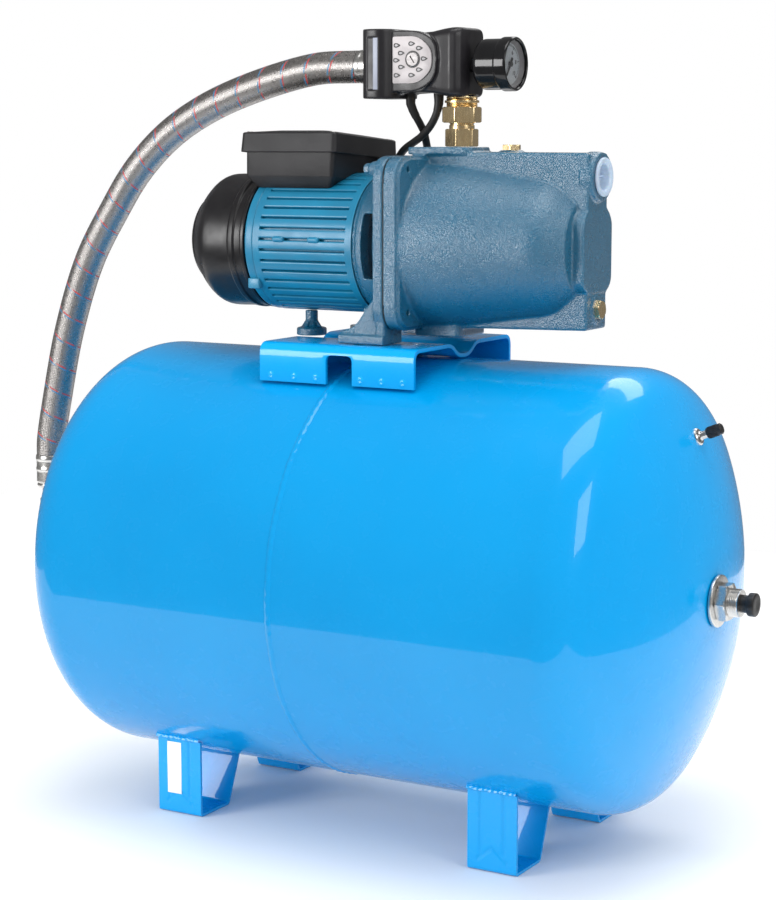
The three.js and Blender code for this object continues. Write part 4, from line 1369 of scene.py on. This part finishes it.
base = loft_mesh(
    "terminal_box_base",
    "z",
    [
        (663, rectangle(-131, -49, -45, 45, 4)),
        (664, rectangle(-132, -48, -46, 46, 4)),
        (679, rectangle(-143.4, -36.6, -59.4, 59.4, 5)),
        (680.5, rectangle(-144, -36, -60, 60, 5.5)),
        (705, rectangle(-144.6, -35.4, -60.6, 60.6, 6)),
    ],
)
rolled(base)
carve(base, [shaft_rod(73.4, -160, -20, 160)])
dress(base, BLACK_BOX, hides=["box_base"], angle=28)
lid = loft_mesh(
    "terminal_box_lid",
    "z",
    [
        (704.6, rectangle(-149, -31, -65, 65, 7)),
        (705.4, rectangle(-149.3, -30.7, -65.3, 65.3, 7.2)),
        (723.6, rectangle(-148.2, -31.8, -64.2, 64.2, 6.6)),
        (724.6, rectangle(-147.6, -32.4, -63.6, 63.6, 6.3)),
        (725.2, rectangle(-146.4, -33.6, -62.4, 62.4, 5.8)),
        (728.6, rectangle(-122, -58, -38, 38, 10)),
        (729.0, rectangle(-116, -64, -32, 32, 9)),
    ],
)
rolled(lid)
dress(lid, BLACK_BOX, hides=["box_lid"], angle=24)
head = [[724, 0], [724, 3.6], [725.8, 3.6, 0.5], [726.4, 2.4, 0.4], [725.6, 1.2], [725.2, 0]]
for i, (x, y) in enumerate(((-141, -57), (-39, -57), (-39, 57), (-141, 57))):
    rolled(lathe(f"lid_screw_{i + 1}", "z", head, (x, y, 0), ZINC, 32))


def gland_radius(place, turn):
    """A plain nut, then a ribbed one, then the rim that the lead leaves by."""
    if place >= -25:
        return 5.2
    return 8 if place < -30 else 6.9 + 0.35 * math.cos(12 * turn)


gland_places = [-36, -30, -29.4, -26, -24.6, -22.2]
gland_at = (0, 30, 696)
rolled(polar("cable_gland", "x", gland_places, gland_radius, gland_at, BLACK_PART))

# ---- fittings -----------------------------------------------------------------------------

fitting = {"phase": 0.12, "hides": ["union_fitting"]}
hex_part("outlet_hexagon", "z", 30, 714.4, 732.3, PORT_AT, BRASS, **fitting)
neck = [[732, 8], [732, 13], [736, 13, 0.5], [736.4, 12.2], [737.6, 12.2], [738, 13]]
neck += [[745, 13], [745, 8]]
lathe("outlet_neck", "z", neck, PORT_AT, BRASS, 96)
nut = {"phase": 0.12, "body": "nut", "hides": ["union_nut"]}
hex_part("union_hexagon", "z", 35.5, 738.5, 754.5, PORT_AT, BRASS, **nut)
thread("riser_thread", "z", 16.2, 0.9, 1.9, 746, 765, PORT_AT, BRASS, hides=["switch_manifold"])
collar = [[758.5, 12], [758.5, 17.6, 0.4], [761, 17.6, 0.4], [761, 12]]
lathe("riser_collar", "z", collar, PORT_AT, BRASS, 72)

# ---- pressure switch ----------------------------------------------------------------------

trunk = [
    (-13, rectangle(-24, 24, 763, 833, 8)),
    (14, rectangle(-24, 24, 764, 832.6, 8)),
    (26, rectangle(-22, 24, 768, 829.5, 8)),
    (44, rectangle(-21, 24, 769, 829, 8)),
    (60, rectangle(-22, 24, 768, 830, 8)),
    (74, rectangle(-24.5, 24.3, 765.4, 832.4, 9)),
    (84, rectangle(-26.6, 24.6, 763.6, 833.5, 10)),
    (90, rectangle(-25.4, 24.6, 763.4, 833.6, 10)),
    (94.4, rectangle(-21, 24.4, 763.8, 833.2, 9)),
    (97, rectangle(-14, 23, 765, 832, 8)),
    (98, rectangle(-8, 21, 767, 830, 7)),
]
waist = [[8, 770, 6], [50, 770, 12], [69, 782, 12], [71, 802], [69, 821, 12]]
waist += [[50, 831, 12], [8, 831, 6]]
head = [[-15, -30, 9], [-8, -39, 7], [11, -39, 8], [21, -26, 8], [21, 24, 5], [-15, 24, 6]]
switch_parts = [
    loft_mesh("trunk", "x", trunk),
    prism_mesh("waist", "y", soft(waist, closed=True), -28.1, -18),
    bevel(prism_mesh("head", "z", soft(head, closed=True, steps=8), 763, 833), 6, 5, 50),
]
switch_cuts = [
    rod("x", 17.9, -30, 20, LINE_AT, 64),
    rod("y", 8, -40, -19, SCREW_AT, 48),
    rod("z", 16.8, 750, 766, PORT_AT, 64),
    bare_box("window", (-5, 8), (-45, -38), (771, 825)),
]
cast("switch_housing", switch_parts, switch_cuts, 0.8, 8, BLACK_SWITCH, hides=["switch_body"])
box("switch_label", (2.4, 7.6), (-38.5, -37.8), (772, 824), DISPLAY, 0.1)
plate_corners = [[20.5, 778, 2], [50, 778, 9], [64, 790, 8], [66, 801.5, 6], [64, 813, 8]]
plate_corners += [[50, 825, 9], [20.5, 825, 2]]
plate_outline = soft(plate_corners, closed=True, steps=8)
plate = prism_mesh("switch_face_plate", "y", plate_outline, -29.8, -27.9)
carve(plate, [rod("y", 8.2, -40, -19, SCREW_AT, 64)])
bevel(plate, 0.25, 2, 50)
dress(plate, SILVER, hides=["switch_plate"])


def teardrop(x, z, size):
    """The outline of a drop whose point is on its right."""
    outer = []
    for i in range(24):
        t = TAU * i / 24
        taper = 1 - 0.5 * math.cos(t)
        outer.append((x + 3.9 * size * math.cos(t), z + 2.1 * size * math.sin(t) * taper))
    return outer


marks = [
    (25.8, 816.2),
    (43, 817.6),
    (51.9, 813),
    (30.8, 808.4),
    (25.2, 801.3),
    (57.4, 802.4),
    (31.1, 794.5),
    (51.9, 791.5),
    (25.8, 786.2),
    (43, 786.2),
]
rims = [prism_mesh("rim", "y", teardrop(x, z, 1), -30.1, -29.5) for x, z in marks]
centres = [prism_mesh("centre", "y", teardrop(x - 0.3, z, 0.5), -30.3, -29.9) for x, z in marks]
dress(joined("switch_marks", rims), BLACK_PART)
dress(joined("switch_mark_centres", centres), MARK_GREY)
groove = [[-29.4, 7.4], [-30, 7.4], [-30, 8.6], [-29.4, 8.6]]
lathe("pressure_screw_groove", "y", groove, SCREW_AT, BLACK_PART, 64, closed=True)
head = [[-20, 0], [-20, 7.3], [-30.4, 7.3, 0.5], [-31, 6.6, 0.3], [-31, 0]]
screw = lathe("pressure_screw_head", "y", head, SCREW_AT, SCREW, 64, body=None)
slot = prism_mesh("slot", "y", corners_of((39.8, 48.2), (801.2, 802.8)), -32, -29.6)
pivot = Matrix.Translation(world(SCREW_AT))
slot.data.transform(pivot @ Matrix.Rotation(math.radians(55), 4, "Y") @ pivot.inverted())
carve(screw, [slot])
dress(screw, SCREW, "pressure_screw", ["adjust_screw"])

# ---- gauge --------------------------------------------------------------------------------

lathe(
    "gauge_cup",
    "x",
    [
        [98.6, 7],
        [98.6, 8],
        [107, 8, 1],
        [107, 21, 2],
        [111, 25.4, 3],
        [133, 25.4, 1],
        [134, 27, 1],
        [146, 27, 1.5],
        [147, 25.4, 0.8],
        [146, 24, 0.8],
        [143.4, 23.8],
        [139.5, 23],
        [109, 22.6],
        [109, 2],
    ],
    LINE_AT,
    BLACK_GAUGE,
    128,
    hides=["gauge_case"],
)
dial = [[137, 0], [137, 23], [138.2, 23], [138.2, 0]]
lathe("gauge_face_plate", "x", dial, LINE_AT, DIAL, 96, hides=["gauge_dial"])
ring = [[138.2, 20.2], [142.6, 22.8], [143, 23.6], [138, 23.6]]
lathe("gauge_ring", "x", ring, LINE_AT, SILVER, 96, closed=True)
lens = [[142.8, 0], [142.8, 23.4], [144, 23.4, 0.4], [144.6, 12, 10], [144.8, 0]]
lathe("gauge_glass", "x", lens, LINE_AT, GLASS, 96, hides=["gauge_lens"])

ticks = []
for i in range(51):
    turn = math.radians(225 - 270 * i / 50)
    inner, wide = (15.5, 0.4) if i % 10 == 0 else (17.2, 0.2)
    tick = prism_mesh("tick", "x", corners_of((inner, 19), (-wide, wide)), 138.15, 138.4)
    spin = Matrix.Translation(world(LINE_AT)) @ Matrix.Rotation(turn, 4, "X")
    tick.data.transform(spin @ Matrix.Translation(-TANK_MIDDLE * MM))
    ticks.append(tick)
dress(joined("gauge_ticks", ticks), INK)
for i, value in enumerate(("0", "2", "4", "6", "8", "10")):
    turn = math.radians(225 - 54 * i)
    data = bpy.data.curves.new(f"dial_number_{i}", "FONT")
    data.body = value
    data.size = 0.0058
    data.extrude = 0.00008
    data.align_x = "CENTER"
    data.align_y = "CENTER"
    data.materials.append(INK)
    number = bpy.data.objects.new(f"dial_number_{i}", data)
    scene.collection.objects.link(number)
    at = world((138.3, 12.3 * math.cos(turn), LINE_Z + 12.3 * math.sin(turn)))
    facing = Matrix(((0, 0, 1, 0), (1, 0, 0, 0), (0, 1, 0, 0), (0, 0, 0, 1)))
    number.matrix_world = Matrix.Translation(at) @ facing
    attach(number, "set")

hand = soft([[-1.5, -7, 0.8], [1.5, -7, 0.8], [0.5, 17.4], [-0.5, 17.4]], closed=True)
at_rest = Matrix.Rotation(math.radians(150), 2)
turned_hand = [at_rest @ p + Vector((0, LINE_Z)) for p in hand]
own = {"body": "pointer", "hides": ["gauge_pointer"]}
prism("gauge_hand", "x", turned_hand, 139.1, 139.7, INK, 0.1, **own)
hub = [[138.4, 0], [138.4, 2.6], [140.8, 2.6, 0.6], [140.8, 0]]
lathe("gauge_hub", "x", hub, LINE_AT, INK, 48, body="pointer")

# ---- hose ends ----------------------------------------------------------------------------

ferrule = [[-34, 12], [-34, 17.2, 0.6], [-30, 17.4, 0.8], [-28, 17, 0.5], [-20, 17.2]]
ferrule += [[-13.8, 17.2], [-13.8, 12]]
lathe("hose_ferrule_upper", "x", ferrule, LINE_AT, ZINC, 96, hides=["hose_end_upper"])
lathe(
    "hose_ferrule_lower",
    "z",
    [
        [300.4, 9],
        [300.4, 14, 1],
        [306, 14, 1.5],
        [306.6, 11.2, 0.5],
        [318, 11, 0.5],
        [318.6, 15.4, 1.5],
        [322, 17.3, 1.5],
        [324.6, 15.9, 0.8],
        [326, 17.4, 1],
        [338, 17.2, 1.5],
        [341, 18.1, 1.2],
        [344, 17.3, 1],
        [350, 17.3, 0.8],
        [353, 18.2, 1.2],
        [357.4, 17.6, 0.8],
        [357.4, 9],
    ],
    (ELBOW_X, 0, 0),
    ZINC,
    96,
    hides=["hose_end_lower"],
)

# ---- cord starts, lengths and points, worked out ------------------------------------------

world(hose_path[0])
path_length(hose_path) * MM
[tuple(world(p)) for p in hose_path]
world(motor_lead_path[0])
path_length(motor_lead_path) * MM
[tuple(world(p)) for p in motor_lead_path]
world(mains_path[0])
path_length(mains_path) * MM
[tuple(world(p)) for p in mains_path]

# ---- stage and light ----------------------------------------------------------------------


# A white table top, whose edges show only where the enamel mirrors them.
floor_look = Nodes("pale_floor")
floor_look.set(Base_Color=(0.94, 0.94, 0.94, 1), Roughness=0.6)
table = [(x, y, -0.0005) for x, y in corners_of((-1.7, 1.1), (-0.72, 1.6))]
floor_mesh = bpy.data.meshes.new("floor")
floor_mesh.from_pydata(table, [], [(0, 1, 2, 3)])
floor_mesh.materials.append(floor_look.material)
floor = bpy.data.objects.new("floor", floor_mesh)
scene.collection.objects.link(floor)

# The white surroundings fill every shadow, and gloss mirrors them dimly.
sky = bpy.data.worlds.new("studio")
sky.use_nodes = True
tree = sky.node_tree
rays = tree.nodes.new("ShaderNodeLightPath")
dim = tree.nodes.new("ShaderNodeMapRange")
dim.inputs["To Min"].default_value = 1.0
dim.inputs["To Max"].default_value = 0.2
tree.links.new(rays.outputs["Is Glossy Ray"], dim.inputs["Value"])
tree.links.new(dim.outputs[0], tree.nodes["Background"].inputs["Strength"])
tree.nodes["Background"].inputs["Color"].default_value = (1, 1, 1, 1)
scene.world = sky


def softbox(name, place, target, size, power):
    """A square-cornered area light: size in metres, power in watts."""
    data = bpy.data.lights.new(name, "AREA")
    data.shape = "RECTANGLE"
    data.size, data.size_y = size
    data.energy = power
    light = bpy.data.objects.new(name, data)
    light.matrix_world = look_from(place, target)
    scene.collection.objects.link(light)
    return light


key = softbox("key_left", (-1.5, -2.5, 1.0), (0.1, 0, 0.6), (1.2, 1.3), 46)
softbox("side_right", (2.5, -0.9, 1.7), (0, 0, 0.45), (0.9, 1.3), 16)
softbox("top", (0.3, -0.3, 2.7), (0, 0, 0.5), (1.6, 1.2), 22)
softbox("back", (0.2, 1.7, 2.2), (0, 0, 0.5), (1.8, 0.6), 14)

# The key light is flagged off the tank, which shows no lamp in its side.
flagged = bpy.data.collections.new("flagged_from_key")
for index, obj in enumerate((tank, girth_weld)):
    flagged.objects.link(obj)
    flagged.collection_objects[index].light_linking.link_state = "EXCLUDE"
key.light_linking.receiver_collection = flagged

scene.view_settings.view_transform = "Standard"
scene.view_settings.look = "None"
